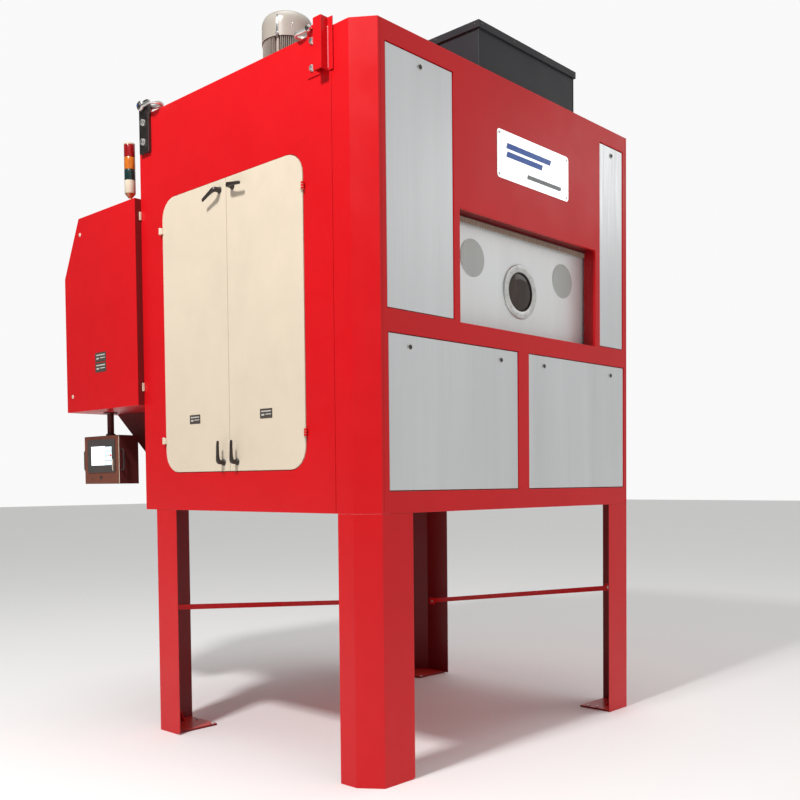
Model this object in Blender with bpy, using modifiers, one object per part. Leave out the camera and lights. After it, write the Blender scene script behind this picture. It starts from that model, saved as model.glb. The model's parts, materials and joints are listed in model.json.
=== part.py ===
"""Pass-through industrial tumble dryer on four tall legs, in metres.

+X is to the right of someone facing the discharge side, +Y runs from the discharge side to the
loading side, and +Z is up.  Cabinet positions below are measured from the cabinet's own centre
line on the floor; the parent empty "machine" moves them so that the origin is the middle of the
whole machine's footprint.
"""
import bpy
import bmesh
from math import pi, sin, cos, radians, hypot
from mathutils import Matrix, Vector

# ---------------------------------------------------------------- driving dimensions
MACHINE_SHIFT = Vector((0.00904, -0.44762, 0.0))
GAP = 0.0003

HALF_WIDTH = 1.180
HALF_DEPTH = 0.951
CABINET_BOTTOM = 1.303
CABINET_TOP = 3.600
WALL = 0.020
SHEET = 0.004
CHAMFER_X = 0.0805
CHAMFER_Y = 0.112
FASCIA_HALF = 1.085
SIDE_SEAM_Y = -0.716

LEG_SHEET = 0.006
LEG_FLANGE = 0.210
LEG_WEB_REAR = 0.200
LEG_WEB_FRONT = 0.110
FOOT_SIZE = 0.280
FOOT_PLATE = 0.012

DRUM_X = 0.109
DRUM_Z = 2.452
DRUM_RADIUS = 0.840
DRUM_FRONT = -0.740
DRUM_BACK = 0.840
DRUM_MOUTH = 0.660
DRUM_STEPS = 48
ROLLER_RADIUS = 0.080
ROLLER_ANGLE = radians(35)
ROLLER_SHAFT = 0.025

RECESS_WIDTH = 1.264
RECESS_BOTTOM = 2.264
RECESS_TOP = 2.840
DOOR_PLANE = -0.853
DOOR_HALF_WIDTH = 0.660
DOOR_THICK = 0.020
DOOR_CLEARANCE = 0.016
RAIL_BOTTOM = 2.220
RAIL_TOP = 3.480
PORTHOLE_Z = 2.516
PORTHOLE_OUTER = 0.151
PORTHOLE_SIGHT = 0.108
PORTHOLE_GLASS = 0.122
DISC_RADIUS = 0.100
DISC_OFFSET = 0.419
DISC_Z = 2.638

LEAF_SPLIT_Y = 0.113
LEAF_REAR_Y = 0.724
LEAF_FRONT_Y = -0.508
LEAF_BOTTOM = 1.516
LEAF_TOP = 3.075
LEAF_THICK = 0.022
LEAF_PROUD = 0.003
LEAF_GAP = 0.003
LEAF_CORNER = 0.120
HINGE_STANDOFF = 0.012
HINGE_RADIUS = 0.008
HINGE_LENGTH = 0.036
HINGE_FLAG = 0.010
HINGE_HEIGHTS = (1.700, 2.897)

PANEL_GAP = 0.004
PANEL_SET_BACK = 0.004
PANEL_THICK = 0.014

DUCT_WIDTH = 0.876
DUCT_LENGTH = 0.576
DUCT_FRONT = -0.922
DUCT_TOP = 3.850
DUCT_FLANGE = 0.012
DUCT_FLANGE_HEIGHT = 0.038

FAN_X = -0.740
FAN_Y = 0.120
COWL_RADIUS = 0.144
COWL_BOTTOM = 3.8995
COWL_TOP = 4.063
ROOF_TOP = 3.595
ROOF_THICK = 0.020

HOOD_HALF_WIDTH = 1.222
HOOD_BACK = 1.800
HOOD_BOTTOM = 1.918
HOOD_TOP = 3.128
HOOD_SLOPE_TOP_Y = 1.610
HOOD_SLOPE_BOTTOM = 2.775
CHUTE_HALF_WIDTH = 0.900

PENDANT_X = -1.0325
PENDANT_Y = 1.600
PENDANT_RADIUS = 0.021
CONSOLE_DEPTH = 0.135
GRIP_X = -0.052
CONSOLE_WIDTH = 0.430
CONSOLE_BOTTOM = 1.457
CONSOLE_TOP = 1.765

TOWER_X = -1.170
TOWER_Y = 1.080
TOWER_RADIUS = 0.032
TOWER_CONE_BOTTOM = 3.160
TOWER_LEVELS = (3.186, 3.2635, 3.327, 3.400, 3.484)

LOCK_POSITIONS = {
    "panel_lock_upper_left": (-0.811, 3.454),
    "panel_lock_upper_right": (0.9235, 3.449),
    "panel_lock_lower_left_a": (-0.898, 2.101),
    "panel_lock_lower_left_b": (-0.187, 2.101),
    "panel_lock_lower_right_a": (0.208, 2.101),
    "panel_lock_lower_right_b": (0.914, 2.101),
}
PANELS = {
    "front_panel_upper_left": ((-1.053, 2.271), (-0.569, 3.505)),
    "front_panel_upper_right": ((0.791, 2.271), (1.056, 3.502)),
    "front_panel_lower_left": ((-1.048, 1.408), (-0.035, 2.161)),
    "front_panel_lower_right": ((0.061, 1.408), (1.067, 2.161)),
}
LATCHES = {
    "latch_handle_rear_low": (0.170, 1.5665, 0),
    "latch_handle_front_low": (0.050, 1.5665, 0),
    "latch_handle_rear_high": (0.170, 3.017, -112),
    "latch_handle_front_high": (0.056, 3.015, 96),
}
LATCH_HOLE = 0.0095
LOCK_HOLE = 0.0080

CYLINDER_X = DRUM_X + 0.636
CYLINDER_Y = -0.780
CYLINDER_RADIUS = 0.022

SHACKLE_TILT = radians(5)
REAR_PIN = Vector((-1.191, 0.872, 3.637))
REAR_SHACKLE = {"rod": 0.012, "ear": 0.029, "apart": 0.026, "bow": 0.0375, "leg": 0.066,
                "crown": 0.110, "pin": 0.0095, "pin_length": 0.094}
FRONT_PIN = Vector((-1.184, -0.585, 3.622))
FRONT_SHACKLE = {"rod": 0.008, "ear": 0.017, "apart": 0.018, "bow": 0.027, "leg": 0.045, "crown": 0.073,
                 "pin": 0.0070, "pin_length": 0.066}
EYE_CLEARANCE = 0.002
HAT_BOTTOM = 3.395
HAT_TOP = 3.640
HAT_REACH = 0.045
HAT_FOLDS = (-0.556, -0.656, -0.701, -0.736)

COLOURS = {
    "red_paint": ((0.62, 0.012, 0.016), 0.32, 0.0),
    "console_paint": ((0.22, 0.05, 0.03), 0.45, 0.0),
    "cream_paint": ((0.84, 0.76, 0.62), 0.40, 0.0),
    "stainless": ((0.62, 0.63, 0.64), 0.35, 1.0),
    "polished_steel": ((0.72, 0.72, 0.72), 0.18, 1.0),
    "black_steel": ((0.03, 0.03, 0.033), 0.50, 0.3),
    "grey_aluminium": ((0.48, 0.47, 0.45), 0.42, 0.8),
    "smoked_glass": ((0.05, 0.045, 0.04), 0.08, 0.0),
    "screen_black": ((0.03, 0.03, 0.035), 0.25, 0.0),
    "black_plastic": ((0.025, 0.025, 0.025), 0.45, 0.0),
    "cream_plastic": ((0.80, 0.74, 0.62), 0.40, 0.0),
    "red_lens": ((0.55, 0.01, 0.01), 0.15, 0.0),
    "amber_lens": ((0.85, 0.28, 0.02), 0.15, 0.0),
    "green_lens": ((0.01, 0.10, 0.06), 0.15, 0.0),
    "rubber": ((0.10, 0.06, 0.045), 0.75, 0.0),
    "filter_cloth": ((0.55, 0.56, 0.55), 0.90, 0.0),
}


# ---------------------------------------------------------------- scene, groups and materials
def clear_scene():
    for item in list(bpy.data.objects):
        bpy.data.objects.remove(item, do_unlink=True)


def new_group(name):
    group = bpy.data.collections.new(name)
    bpy.context.scene.collection.children.link(group)
    return group


def new_material(name):
    colour, roughness, metallic = COLOURS[name]
    material = bpy.data.materials.new(name)
    material.use_nodes = True
    shader = material.node_tree.nodes["Principled BSDF"]
    shader.inputs["Base Color"].default_value = (*colour, 1.0)
    shader.inputs["Roughness"].default_value = roughness
    shader.inputs["Metallic"].default_value = metallic
    return material


clear_scene()
PARTS = new_group("transfer_dryer")
TOOLS = new_group("cutters")
MACHINE = bpy.data.objects.new("machine", None)
MACHINE.location = MACHINE_SHIFT
PARTS.objects.link(MACHINE)
MATERIALS = {name: new_material(name) for name in COLOURS}


# ---------------------------------------------------------------- modelling helpers
def place(mesh, name, material, location=(0, 0, 0)):
    """Put a mesh into the machine's frame, as a part or, with no material, as a tool."""
    item = bpy.data.objects.new(name, mesh)
    item.parent = MACHINE
    item.location = location
    if material:
        PARTS.objects.link(item)
        mesh.materials.clear()
        mesh.materials.append(MATERIALS[material])
    else:
        TOOLS.objects.link(item)
        item.display_type = "WIRE"
        item.hide_render = True
    return item


def to_mesh(shape, name):
    mesh = bpy.data.meshes.new(name)
    shape.to_mesh(mesh)
    shape.free()
    return mesh


def box(name, low, high, material=None):
    """A block between two corners, with its origin at its middle."""
    low = Vector(low)
    high = Vector(high)
    shape = bmesh.new()
    bmesh.ops.create_cube(shape, size=1.0)
    bmesh.ops.scale(shape, vec=high - low, verts=shape.verts)
    return place(to_mesh(shape, name), name, material, (low + high) / 2)


def along(axis):
    """The rotation that turns +Z to the named axis."""
    turns = {"X": Matrix.Rotation(pi / 2, 4, "Y"), "Y": Matrix.Rotation(-pi / 2, 4, "X")}
    return turns.get(axis, Matrix.Identity(4))


def cylinder(name, centre, radius, length, axis="Z", material=None, sides=32):
    shape = bmesh.new()
    bmesh.ops.create_cone(shape, cap_ends=True, segments=sides, radius1=radius,
                          radius2=radius, depth=length)
    bmesh.ops.transform(shape, matrix=along(axis), verts=shape.verts)
    item = place(to_mesh(shape, name), name, material, centre)
    shade(item)
    return item


def shade(item):
    item.data.shade_smooth()
    item.data.set_sharp_from_angle(angle=radians(35))


def curve_to_mesh(curve, name):
    """The evaluated mesh of a curve, with its caps welded on."""
    guide = bpy.data.objects.new(name + "_guide", curve)
    bpy.context.scene.collection.objects.link(guide)
    seen = guide.evaluated_get(bpy.context.evaluated_depsgraph_get())
    mesh = bpy.data.meshes.new_from_object(seen)
    bpy.data.objects.remove(guide, do_unlink=True)
    shape = bmesh.new()
    shape.from_mesh(mesh)
    bmesh.ops.remove_doubles(shape, verts=shape.verts, dist=0.00001)
    bmesh.ops.recalc_face_normals(shape, faces=shape.faces)
    shape.to_mesh(mesh)
    shape.free()
    return mesh


def plate(name, outline, low, high, axis="Z", material=None):
    """A flat outline thickened from low to high along an axis.

    The outline is in (x, y) for Z, (y, z) for X and (x, z) for Y.
    """
    curve = bpy.data.curves.new(name, "CURVE")
    curve.dimensions = "2D"
    curve.fill_mode = "BOTH"
    curve.extrude = (high - low) / 2
    edge = curve.splines.new("POLY")
    edge.points.add(len(outline) - 1)
    for point, (u, v) in zip(edge.points, outline):
        point.co = (u, v, 0, 1)
    edge.use_cyclic_u = True
    mesh = curve_to_mesh(curve, name)
    middle = (high + low) / 2
    frames = {
        "Z": Matrix(((1, 0, 0, 0), (0, 1, 0, 0), (0, 0, 1, middle), (0, 0, 0, 1))),
        "X": Matrix(((0, 0, 1, middle), (1, 0, 0, 0), (0, 1, 0, 0), (0, 0, 0, 1))),
        "Y": Matrix(((1, 0, 0, 0), (0, 0, -1, middle), (0, 1, 0, 0), (0, 0, 0, 1))),
    }
    mesh.transform(frames[axis])
    return place(mesh, name, material)


def arc(centre, radius, start, end, steps):
    """Points on a circle from one angle to another, in degrees."""
    sweep = [radians(start + (end - start) * i / steps) for i in range(steps + 1)]
    return [(centre[0] + radius * cos(a), centre[1] + radius * sin(a)) for a in sweep]


def folded_sheet(name, path, low, high, thick, material=None):
    """An upright sheet folded along a plan-view path; the sign of thick picks the side it fills."""
    shape = bmesh.new()
    feet = [shape.verts.new((x, y, low)) for x, y in path]
    edges = [shape.edges.new(pair) for pair in zip(feet, feet[1:])]
    grown = bmesh.ops.extrude_edge_only(shape, edges=edges)["geom"]
    tops = [part for part in grown if isinstance(part, bmesh.types.BMVert)]
    bmesh.ops.translate(shape, verts=tops, vec=(0, 0, high - low))
    item = place(to_mesh(shape, name), name, material)
    solid = item.modifiers.new("sheet", "SOLIDIFY")
    solid.thickness = thick
    solid.offset = 1.0
    solid.use_even_offset = True
    return item


def turned(name, profile, centre, axis="Z", material=None, steps=32, closed=False):
    """A turned piece from (radius, height) points that run down its outer side."""
    shape = bmesh.new()
    points = [shape.verts.new((radius, 0, height)) for radius, height in profile]
    for pair in zip(points, points[1:]):
        shape.edges.new(pair)
    if closed:
        shape.edges.new((points[-1], points[0]))
    mesh = to_mesh(shape, name)
    item = place(mesh, name, material, centre)
    screw = item.modifiers.new("turn", "SCREW")
    screw.steps = steps
    screw.render_steps = steps
    screw.use_merge_vertices = True
    screw.merge_threshold = 0.0001
    screw.use_smooth_shade = True
    freeze(item)
    item.data.transform(along(axis))
    shade(item)
    return item


def rod(name, points, radius, material=None, sides_level=2):
    """A round bar along a polyline."""
    curve = bpy.data.curves.new(name, "CURVE")
    curve.dimensions = "3D"
    curve.bevel_depth = radius
    curve.bevel_resolution = sides_level
    curve.use_fill_caps = True
    run = curve.splines.new("POLY")
    run.points.add(len(points) - 1)
    for point, (x, y, z) in zip(run.points, points):
        point.co = (x, y, z, 1)
    item = place(curve_to_mesh(curve, name), name, material)
    shade(item)
    return item


def freeze(item):
    """Replace an object's mesh by what its modifiers make of it."""
    seen = item.evaluated_get(bpy.context.evaluated_depsgraph_get())
    mesh = bpy.data.meshes.new_from_object(seen)
    item.modifiers.clear()
    item.data = mesh


def combine(item, tools, operation):
    for tool in tools:
        step = item.modifiers.new(tool.name, "BOOLEAN")
        step.operation = operation
        step.solver = "EXACT"
        step.object = tool
    freeze(item)
    for tool in tools:
        bpy.data.objects.remove(tool, do_unlink=True)
    return item


def cut(item, *tools):
    return combine(item, tools, "DIFFERENCE")


def join(item, *tools):
    return combine(item, tools, "UNION")


def set_origin(item, point):
    """Move an unrotated object's origin to a point of the machine's frame."""
    shift = item.location - Vector(point)
    item.data.transform(Matrix.Translation(shift))
    item.location = point


# ---------------------------------------------------------------- legs and base
def leg(name, side, end, web):
    """One bent-sheet leg with a chamfered outer corner, welded to its foot plate."""
    outer_x = side * (HALF_WIDTH - GAP)
    outer_y = end * (HALF_DEPTH - GAP)
    corner_y = outer_y - end * CHAMFER_Y
    corner_x = outer_x - side * CHAMFER_X
    path = [
        (outer_x, corner_y - end * web),
        (outer_x, corner_y),
        (corner_x, outer_y),
        (corner_x - side * LEG_FLANGE, outer_y),
    ]
    if side * end > 0:
        path.reverse()
    sheet = folded_sheet(name, path, FOOT_PLATE / 2, CABINET_BOTTOM - GAP, -LEG_SHEET, "red_paint")
    freeze(sheet)
    inner_x = outer_x - side * FOOT_SIZE
    inner_y = outer_y - end * min(FOOT_SIZE, CHAMFER_Y + web)
    foot = plate("foot", [
        (inner_x, inner_y), (outer_x, inner_y), (outer_x, corner_y),
        (corner_x, outer_y), (inner_x, outer_y)], 0, FOOT_PLATE)
    join(sheet, foot)


def legs():
    leg("leg_front_left", -1, -1, LEG_WEB_FRONT)
    leg("leg_front_right", 1, -1, LEG_WEB_FRONT)
    leg("leg_rear_left", -1, 1, LEG_WEB_REAR)
    leg("leg_rear_right", 1, 1, LEG_WEB_REAR)


def tie_bars():
    """Two flat bars that meet at the rear right leg and rise away from it."""
    bar_height = 0.032
    bar_thick = 0.008
    inner_y = HALF_DEPTH - LEG_SHEET - 2 * GAP
    inner_x = HALF_WIDTH - LEG_SHEET - 2 * GAP
    reach = HALF_WIDTH - CHAMFER_X - 0.03
    rear = [(-reach, 0.690), (reach, 0.525), (reach, 0.525 + bar_height), (-reach, 0.690 + bar_height)]
    plate("tie_bar_rear", rear, inner_y - bar_thick, inner_y, "Y", "red_paint")
    front_end = -HALF_DEPTH + CHAMFER_Y + 0.030
    back_end = HALF_DEPTH - CHAMFER_Y - 0.030
    right = [(front_end, 0.735), (back_end, 0.525), (back_end, 0.525 + bar_height),
             (front_end, 0.735 + bar_height)]
    plate("tie_bar_right", right, inner_x - bar_thick, inner_x, "X", "red_paint")


def inner_outline():
    """The cabinet's plan inside its walls, with both front corners cut off."""
    side = HALF_WIDTH - WALL - 0.002
    front = -HALF_DEPTH + WALL + 0.002
    back = HALF_DEPTH - WALL - 0.002
    inset_x = CHAMFER_X + 0.010
    inset_y = CHAMFER_Y + 0.014
    return [(-side + inset_x, front), (side - inset_x, front), (side, front + inset_y),
            (side, back), (-side, back), (-side, front + inset_y)]


def roller_axis(side):
    reach = DRUM_RADIUS + ROLLER_RADIUS + 0.0015
    return DRUM_X + side * reach * sin(ROLLER_ANGLE), DRUM_Z - reach * cos(ROLLER_ANGLE)


def floor_pan():
    """The cabinet's floor, with four posts that carry the drum's roller shafts."""
    pan = plate("floor_pan", inner_outline(), CABINET_BOTTOM + 0.001, CABINET_BOTTOM + WALL,
                material="red_paint")
    posts = []
    for side in (-1, 1):
        x, z = roller_axis(side)
        for y in (-0.690, 0.560):
            posts.append(box("post", (x - 0.045, y - 0.020, CABINET_BOTTOM + WALL / 2),
                             (x + 0.045, y + 0.020, z - ROLLER_SHAFT - 0.0008)))
    join(pan, *posts)


# ---------------------------------------------------------------- cabinet shell
def corner_post(name, side):
    seam = SIDE_SEAM_Y - 0.001
    face = HALF_WIDTH - 0.002
    path = [(side * face, seam), (side * face, -HALF_DEPTH + CHAMFER_Y),
            (side * (HALF_WIDTH - CHAMFER_X), -HALF_DEPTH), (side * FASCIA_HALF, -HALF_DEPTH)]
    if side > 0:
        path.reverse()
    folded_sheet(name, path, CABINET_BOTTOM, CABINET_TOP, SHEET, "red_paint")


def front_fascia():
    half = FASCIA_HALF - GAP
    fascia = box("front_fascia", (-half, -HALF_DEPTH, CABINET_BOTTOM),
                 (half, -HALF_DEPTH + WALL, CABINET_TOP), "red_paint")
    windows = []
    for low, high in PANELS.values():
        windows.append(box("window", (low[0], -1.0, low[1]), (high[0], -0.9, high[1])))
    half_recess = RECESS_WIDTH / 2
    windows.append(box("recess", (DRUM_X - half_recess, -1.0, RECESS_BOTTOM),
                       (DRUM_X + half_recess, -0.9, RECESS_TOP)))
    cut(fascia, *windows)


def rounded_outline(low, high, radius, steps=6):
    (x0, z0), (x1, z1) = low, high
    return (arc((x1 - radius, z0 + radius), radius, -90, 0, steps)
            + arc((x1 - radius, z1 - radius), radius, 0, 90, steps)
            + arc((x0 + radius, z1 - radius), radius, 90, 180, steps)
            + arc((x0 + radius, z0 + radius), radius, 180, 270, steps))


def left_wall():
    wall = box("left_wall", (-HALF_WIDTH, SIDE_SEAM_Y, CABINET_BOTTOM),
               (-HALF_WIDTH + WALL, HALF_DEPTH, CABINET_TOP), "red_paint")
    outline = rounded_outline((LEAF_FRONT_Y, LEAF_BOTTOM), (LEAF_REAR_Y, LEAF_TOP), LEAF_CORNER)
    cut(wall, plate("doorway", outline, -1.3, -1.1, "X"))


def right_wall():
    box("right_wall", (HALF_WIDTH - WALL, SIDE_SEAM_Y, CABINET_BOTTOM),
        (HALF_WIDTH, HALF_DEPTH, CABINET_TOP), "red_paint")


def rear_wall():
    half = HALF_WIDTH - WALL - 0.001
    wall = box("rear_wall", (-half, HALF_DEPTH - WALL, CABINET_BOTTOM),
               (half, HALF_DEPTH, CABINET_TOP), "red_paint")
    cut(wall, box("mouth", (DRUM_X - 0.56, 0.9, 2.200), (DRUM_X + 0.56, 1.0, 2.900)))


def roof_panel():
    roof = plate("roof_panel", inner_outline(), ROOF_TOP - ROOF_THICK, ROOF_TOP, material="red_paint")
    half = DUCT_WIDTH / 2 - 0.010
    duct = box("duct_hole", (DRUM_X - half, DUCT_FRONT + 0.010, 3.5),
               (DRUM_X + half, DUCT_FRONT + DUCT_LENGTH - 0.010, 3.7))
    shaft = cylinder("shaft_hole", (FAN_X, FAN_Y, ROOF_TOP), 0.060, 0.2)
    cut(roof, duct, shaft)


def discharge_frame():
    """The recess liner, with the two rails that guide the sliding door behind it."""
    half = RECESS_WIDTH / 2
    front = -HALF_DEPTH + WALL + GAP
    back = DOOR_PLANE - DOOR_CLEARANCE
    rail_back = DOOR_PLANE + DOOR_THICK + 0.007
    liner = box("discharge_frame", (DRUM_X - half - SHEET, front, RECESS_BOTTOM - SHEET),
                (DRUM_X + half + SHEET, back, RECESS_TOP + SHEET), "red_paint")
    cut(liner, box("bore", (DRUM_X - half, -1.0, RECESS_BOTTOM), (DRUM_X + half, -0.8, RECESS_TOP)))
    rails = []
    for side in (-1, 1):
        near = DRUM_X + side * half
        far = DRUM_X + side * (DOOR_HALF_WIDTH + 0.030)
        web = DRUM_X + side * (DOOR_HALF_WIDTH + 0.002)
        rails.append(box("flange", (min(near, far), back - 0.003, RAIL_BOTTOM),
                         (max(near, far), back, RAIL_TOP)))
        rails.append(box("web", (min(web, far), back - 0.001, RAIL_BOTTOM),
                         (max(web, far), rail_back, RAIL_TOP)))
    join(liner, *rails)


def wiper_seal():
    half = RECESS_WIDTH / 2 - 0.0005
    back = DOOR_PLANE - DOOR_CLEARANCE
    box("wiper_seal", (DRUM_X - half, back - 0.008, 2.803),
        (DRUM_X + half, back, RECESS_TOP - GAP), "rubber")


def front_panels():
    face = -HALF_DEPTH + PANEL_SET_BACK
    for name, (low, high) in PANELS.items():
        panel = box(name, (low[0] + PANEL_GAP, face, low[1] + PANEL_GAP),
                    (high[0] - PANEL_GAP, face + PANEL_THICK, high[1] - PANEL_GAP), "stainless")
        inside = [spot for spot in LOCK_POSITIONS.values()
                  if low[0] < spot[0] < high[0] and low[1] < spot[1] < high[1]]
        holes = [cylinder("hole", (x, face, z), LOCK_HOLE, 0.1, "Y", sides=12) for x, z in inside]
        cut(panel, *holes)


def panel_locks():
    """Slotted quarter-turn locks; a short cam sits behind each panel."""
    face = -HALF_DEPTH + PANEL_SET_BACK - GAP
    for name, (x, z) in LOCK_POSITIONS.items():
        head = turned(name, [(0, -0.0065), (0.011, -0.0065), (0.014, -0.004), (0.014, 0),
                             (0.0072, 0), (0.0072, 0.034), (0, 0.034)][::-1],
                      (x, face, z), "Y", "polished_steel", steps=12)
        slot = box("slot", (x - 0.0012, face - 0.010, z - 0.010), (x + 0.0012, face - 0.0045, z + 0.010))
        cam = box("cam", (x - 0.006, face + 0.028, z - 0.008), (x + 0.006, face + 0.032, z + 0.028))
        cut(head, slot)
        join(head, cam)


def name_plate():
    low = (-0.2175, 3.067)
    high = (0.4495, 3.3235)
    face = -HALF_DEPTH - GAP
    plate("name_plate", rounded_outline(low, high, 0.022), face - 0.004, face, "Y", "polished_steel")


# ---------------------------------------------------------------- drum and its drive
def drum():
    """The tumbling cage: a shell with a ring at each end and four lifters inside."""
    wall = 0.004
    inner = DRUM_RADIUS - wall
    front = DRUM_FRONT
    back = DRUM_BACK
    profile = [
        (DRUM_MOUTH, back), (DRUM_RADIUS, back), (DRUM_RADIUS, front), (DRUM_MOUTH, front),
        (DRUM_MOUTH, front + wall), (inner, front + wall), (inner, back - wall), (DRUM_MOUTH, back - wall)]
    cage = turned("drum", profile, (DRUM_X, 0, DRUM_Z), "Y", "stainless", steps=DRUM_STEPS, closed=True)
    lifters = []
    for quarter in range(4):
        lifter = plate("lifter", [(-0.07, inner + 0.001), (-0.02, inner - 0.13),
                                  (0.02, inner - 0.13), (0.07, inner + 0.001)],
                       front + 0.002, back - 0.002, "Y")
        set_origin(lifter, (0, 0, 0))
        lifter.rotation_euler = (0, radians(45) + quarter * pi / 2, 0)
        lifter.location = (DRUM_X, 0, DRUM_Z)
        lifters.append(lifter)
    join(cage, *lifters)


def drum_rollers():
    tyre = 0.045
    for name, side in (("drum_roller_left", -1), ("drum_roller_right", 1)):
        x, z = roller_axis(side)
        profile = [(0, 0.600), (ROLLER_SHAFT, 0.600)]
        for y in (0.450, -0.450):
            profile += [(ROLLER_SHAFT, y + tyre), (ROLLER_RADIUS - 0.006, y + tyre),
                        (ROLLER_RADIUS, y + tyre - 0.006), (ROLLER_RADIUS, y - tyre + 0.006),
                        (ROLLER_RADIUS - 0.006, y - tyre), (ROLLER_SHAFT, y - tyre)]
        profile += [(ROLLER_SHAFT, -0.725), (0, -0.725)]
        turned(name, profile, (x, 0, z), "Y", "rubber", steps=24)


def drive_motor():
    """The gearmotor that turns the right-hand roller shaft."""
    x, z = roller_axis(1)
    motor = cylinder("drive_motor", (x, 0.745, z), 0.075, 0.280, "Y", "grey_aluminium", sides=24)
    foot = box("foot", (x - 0.060, 0.640, CABINET_BOTTOM + WALL + GAP), (x + 0.060, 0.850, z))
    join(motor, foot)


def heater_battery():
    """The finned hot-air battery above the drum."""
    low = Vector((-0.15, -0.25, 3.330))
    high = Vector((0.95, 0.75, 3.540))
    battery = box("heater_battery", low, high, "grey_aluminium")
    slots = []
    for i in range(8):
        y = low.y + 0.080 + i * 0.120
        slots.append(box("slot", (low.x - 0.1, y - 0.018, low.z + 0.030),
                         (high.x + 0.1, y + 0.018, high.z + 0.1)))
    cut(battery, *slots)


def lint_filter():
    """The filter cassette behind the service doors."""
    low = Vector((-1.030, -0.460, 1.560))
    high = Vector((-0.970, 0.680, 3.030))
    cassette = box("lint_filter", low, high, "filter_cloth")
    pockets = []
    for column in range(2):
        for row in range(3):
            y = low.y + 0.030 + column * 0.555
            z = low.z + 0.030 + row * 0.4833
            pockets.append(box("pocket", (low.x - 0.1, y, z), (high.x - 0.006, y + 0.525, z + 0.4533)))
    cut(cassette, *pockets)


# ---------------------------------------------------------------- doors
def service_leaf(name, hinge_y, free_y):
    """One leaf of the service doors, with its hinge knuckles and latch holes."""
    face = -HALF_WIDTH - LEAF_PROUD
    back = face + LEAF_THICK
    low = LEAF_BOTTOM + LEAF_GAP
    high = LEAF_TOP - LEAF_GAP
    outward = 1 if hinge_y > free_y else -1
    edge = hinge_y - outward * LEAF_GAP
    free = free_y + outward * LEAF_GAP / 2
    radius = LEAF_CORNER - LEAF_GAP
    turn = edge - outward * radius
    upper = arc((turn, high - radius), radius, 90, 90 - 90 * outward, 6)
    lower = arc((turn, low + radius), radius, -90 + 90 * outward, -90, 6)
    leaf = plate(name, [(free, high)] + upper + lower + [(free, low)], face, back, "X", "cream_paint")
    axis_y = hinge_y + outward * HINGE_RADIUS
    axis_x = -HALF_WIDTH - HINGE_STANDOFF
    hinges = []
    for z in HINGE_HEIGHTS:
        hinges.append(cylinder("knuckle", (axis_x, axis_y, z), HINGE_RADIUS, HINGE_LENGTH, sides=12))
        reach = sorted((edge - outward * HINGE_FLAG, axis_y))
        half = HINGE_LENGTH / 2 - 0.002
        hinges.append(box("flag", (axis_x - 0.002, reach[0], z - half), (face + 0.001, reach[1], z + half)))
    join(leaf, *hinges)
    spots = [spot for spot in LATCHES.values() if min(free, edge) < spot[0] < max(free, edge)]
    cut(leaf, *[cylinder("hole", (face, y, z), LATCH_HOLE, 0.1, "X", sides=12) for y, z, _ in spots])
    set_origin(leaf, (axis_x, axis_y, (low + high) / 2))


def latch_handles():
    """Lever latches; the lever and the short cam inside turn with one spindle."""
    face = -HALF_WIDTH - LEAF_PROUD - GAP
    for name, (y, z, turn) in LATCHES.items():
        lever = turned(name, [(0, 0.034), (0.013, 0.034), (0.015, 0.030), (0.015, 0.003), (0.019, 0),
                              (0.0085, 0), (0.0085, -0.036), (0, -0.036)],
                       (0, 0, 0), "Z", "black_plastic", steps=12)
        lever.data.transform(Matrix.Rotation(-pi / 2, 4, "Y"))
        arm = plate("arm", [(-0.010, 0)] + arc((0, 0.104), 0.010, 180, 0, 6) + [(0.010, 0)],
                    -0.0420, -0.0300, "X")
        cam = box("cam", (0.029, -0.007, -0.010), (0.034, 0.007, 0.036))
        join(lever, arm, cam)
        lever.location = (face, y, z)
        lever.rotation_euler = (radians(turn), 0, 0)


def discharge_door():
    """The vertically sliding door, with two blanked ports and the block that lifts it."""
    back = DOOR_PLANE + DOOR_THICK
    door = box("discharge_door", (DRUM_X - DOOR_HALF_WIDTH, DOOR_PLANE, RECESS_BOTTOM - 0.015),
               (DRUM_X + DOOR_HALF_WIDTH, back, RECESS_TOP + 0.020), "stainless")
    sight = cylinder("sight", (DRUM_X, DOOR_PLANE, PORTHOLE_Z), PORTHOLE_GLASS, 0.2, "Y", sides=36)
    cut(door, sight)
    blanks = [cylinder("blank", (DRUM_X + side * DISC_OFFSET, DOOR_PLANE, DISC_Z), DISC_RADIUS,
                       0.002, "Y", sides=28) for side in (-1, 1)]
    block = box("block", (CYLINDER_X - 0.020, back - 0.001, 2.280),
                (CYLINDER_X + 0.020, CYLINDER_Y - CYLINDER_RADIUS - 0.0005, 2.380))
    join(door, *blanks, block)


def door_cylinder():
    """The rodless air cylinder that raises the discharge door."""
    cylinder("door_cylinder", (CYLINDER_X, CYLINDER_Y, 2.870), CYLINDER_RADIUS, 1.260, "Z",
             "grey_aluminium", sides=24)


def porthole():
    ring_front = DOOR_PLANE - GAP - 0.008
    profile = [(PORTHOLE_OUTER, DOOR_PLANE - GAP), (PORTHOLE_OUTER, ring_front + 0.003),
               (PORTHOLE_OUTER - 0.003, ring_front), (PORTHOLE_SIGHT + 0.003, ring_front),
               (PORTHOLE_SIGHT, ring_front + 0.003), (PORTHOLE_SIGHT, DOOR_PLANE - GAP)]
    turned("porthole_ring", profile, (DRUM_X, 0, PORTHOLE_Z), "Y", "stainless", steps=36, closed=True)
    cylinder("porthole_glass", (DRUM_X, DOOR_PLANE + 0.007, PORTHOLE_Z), PORTHOLE_GLASS - 0.0006,
             0.010, "Y", "smoked_glass", sides=36)


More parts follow.
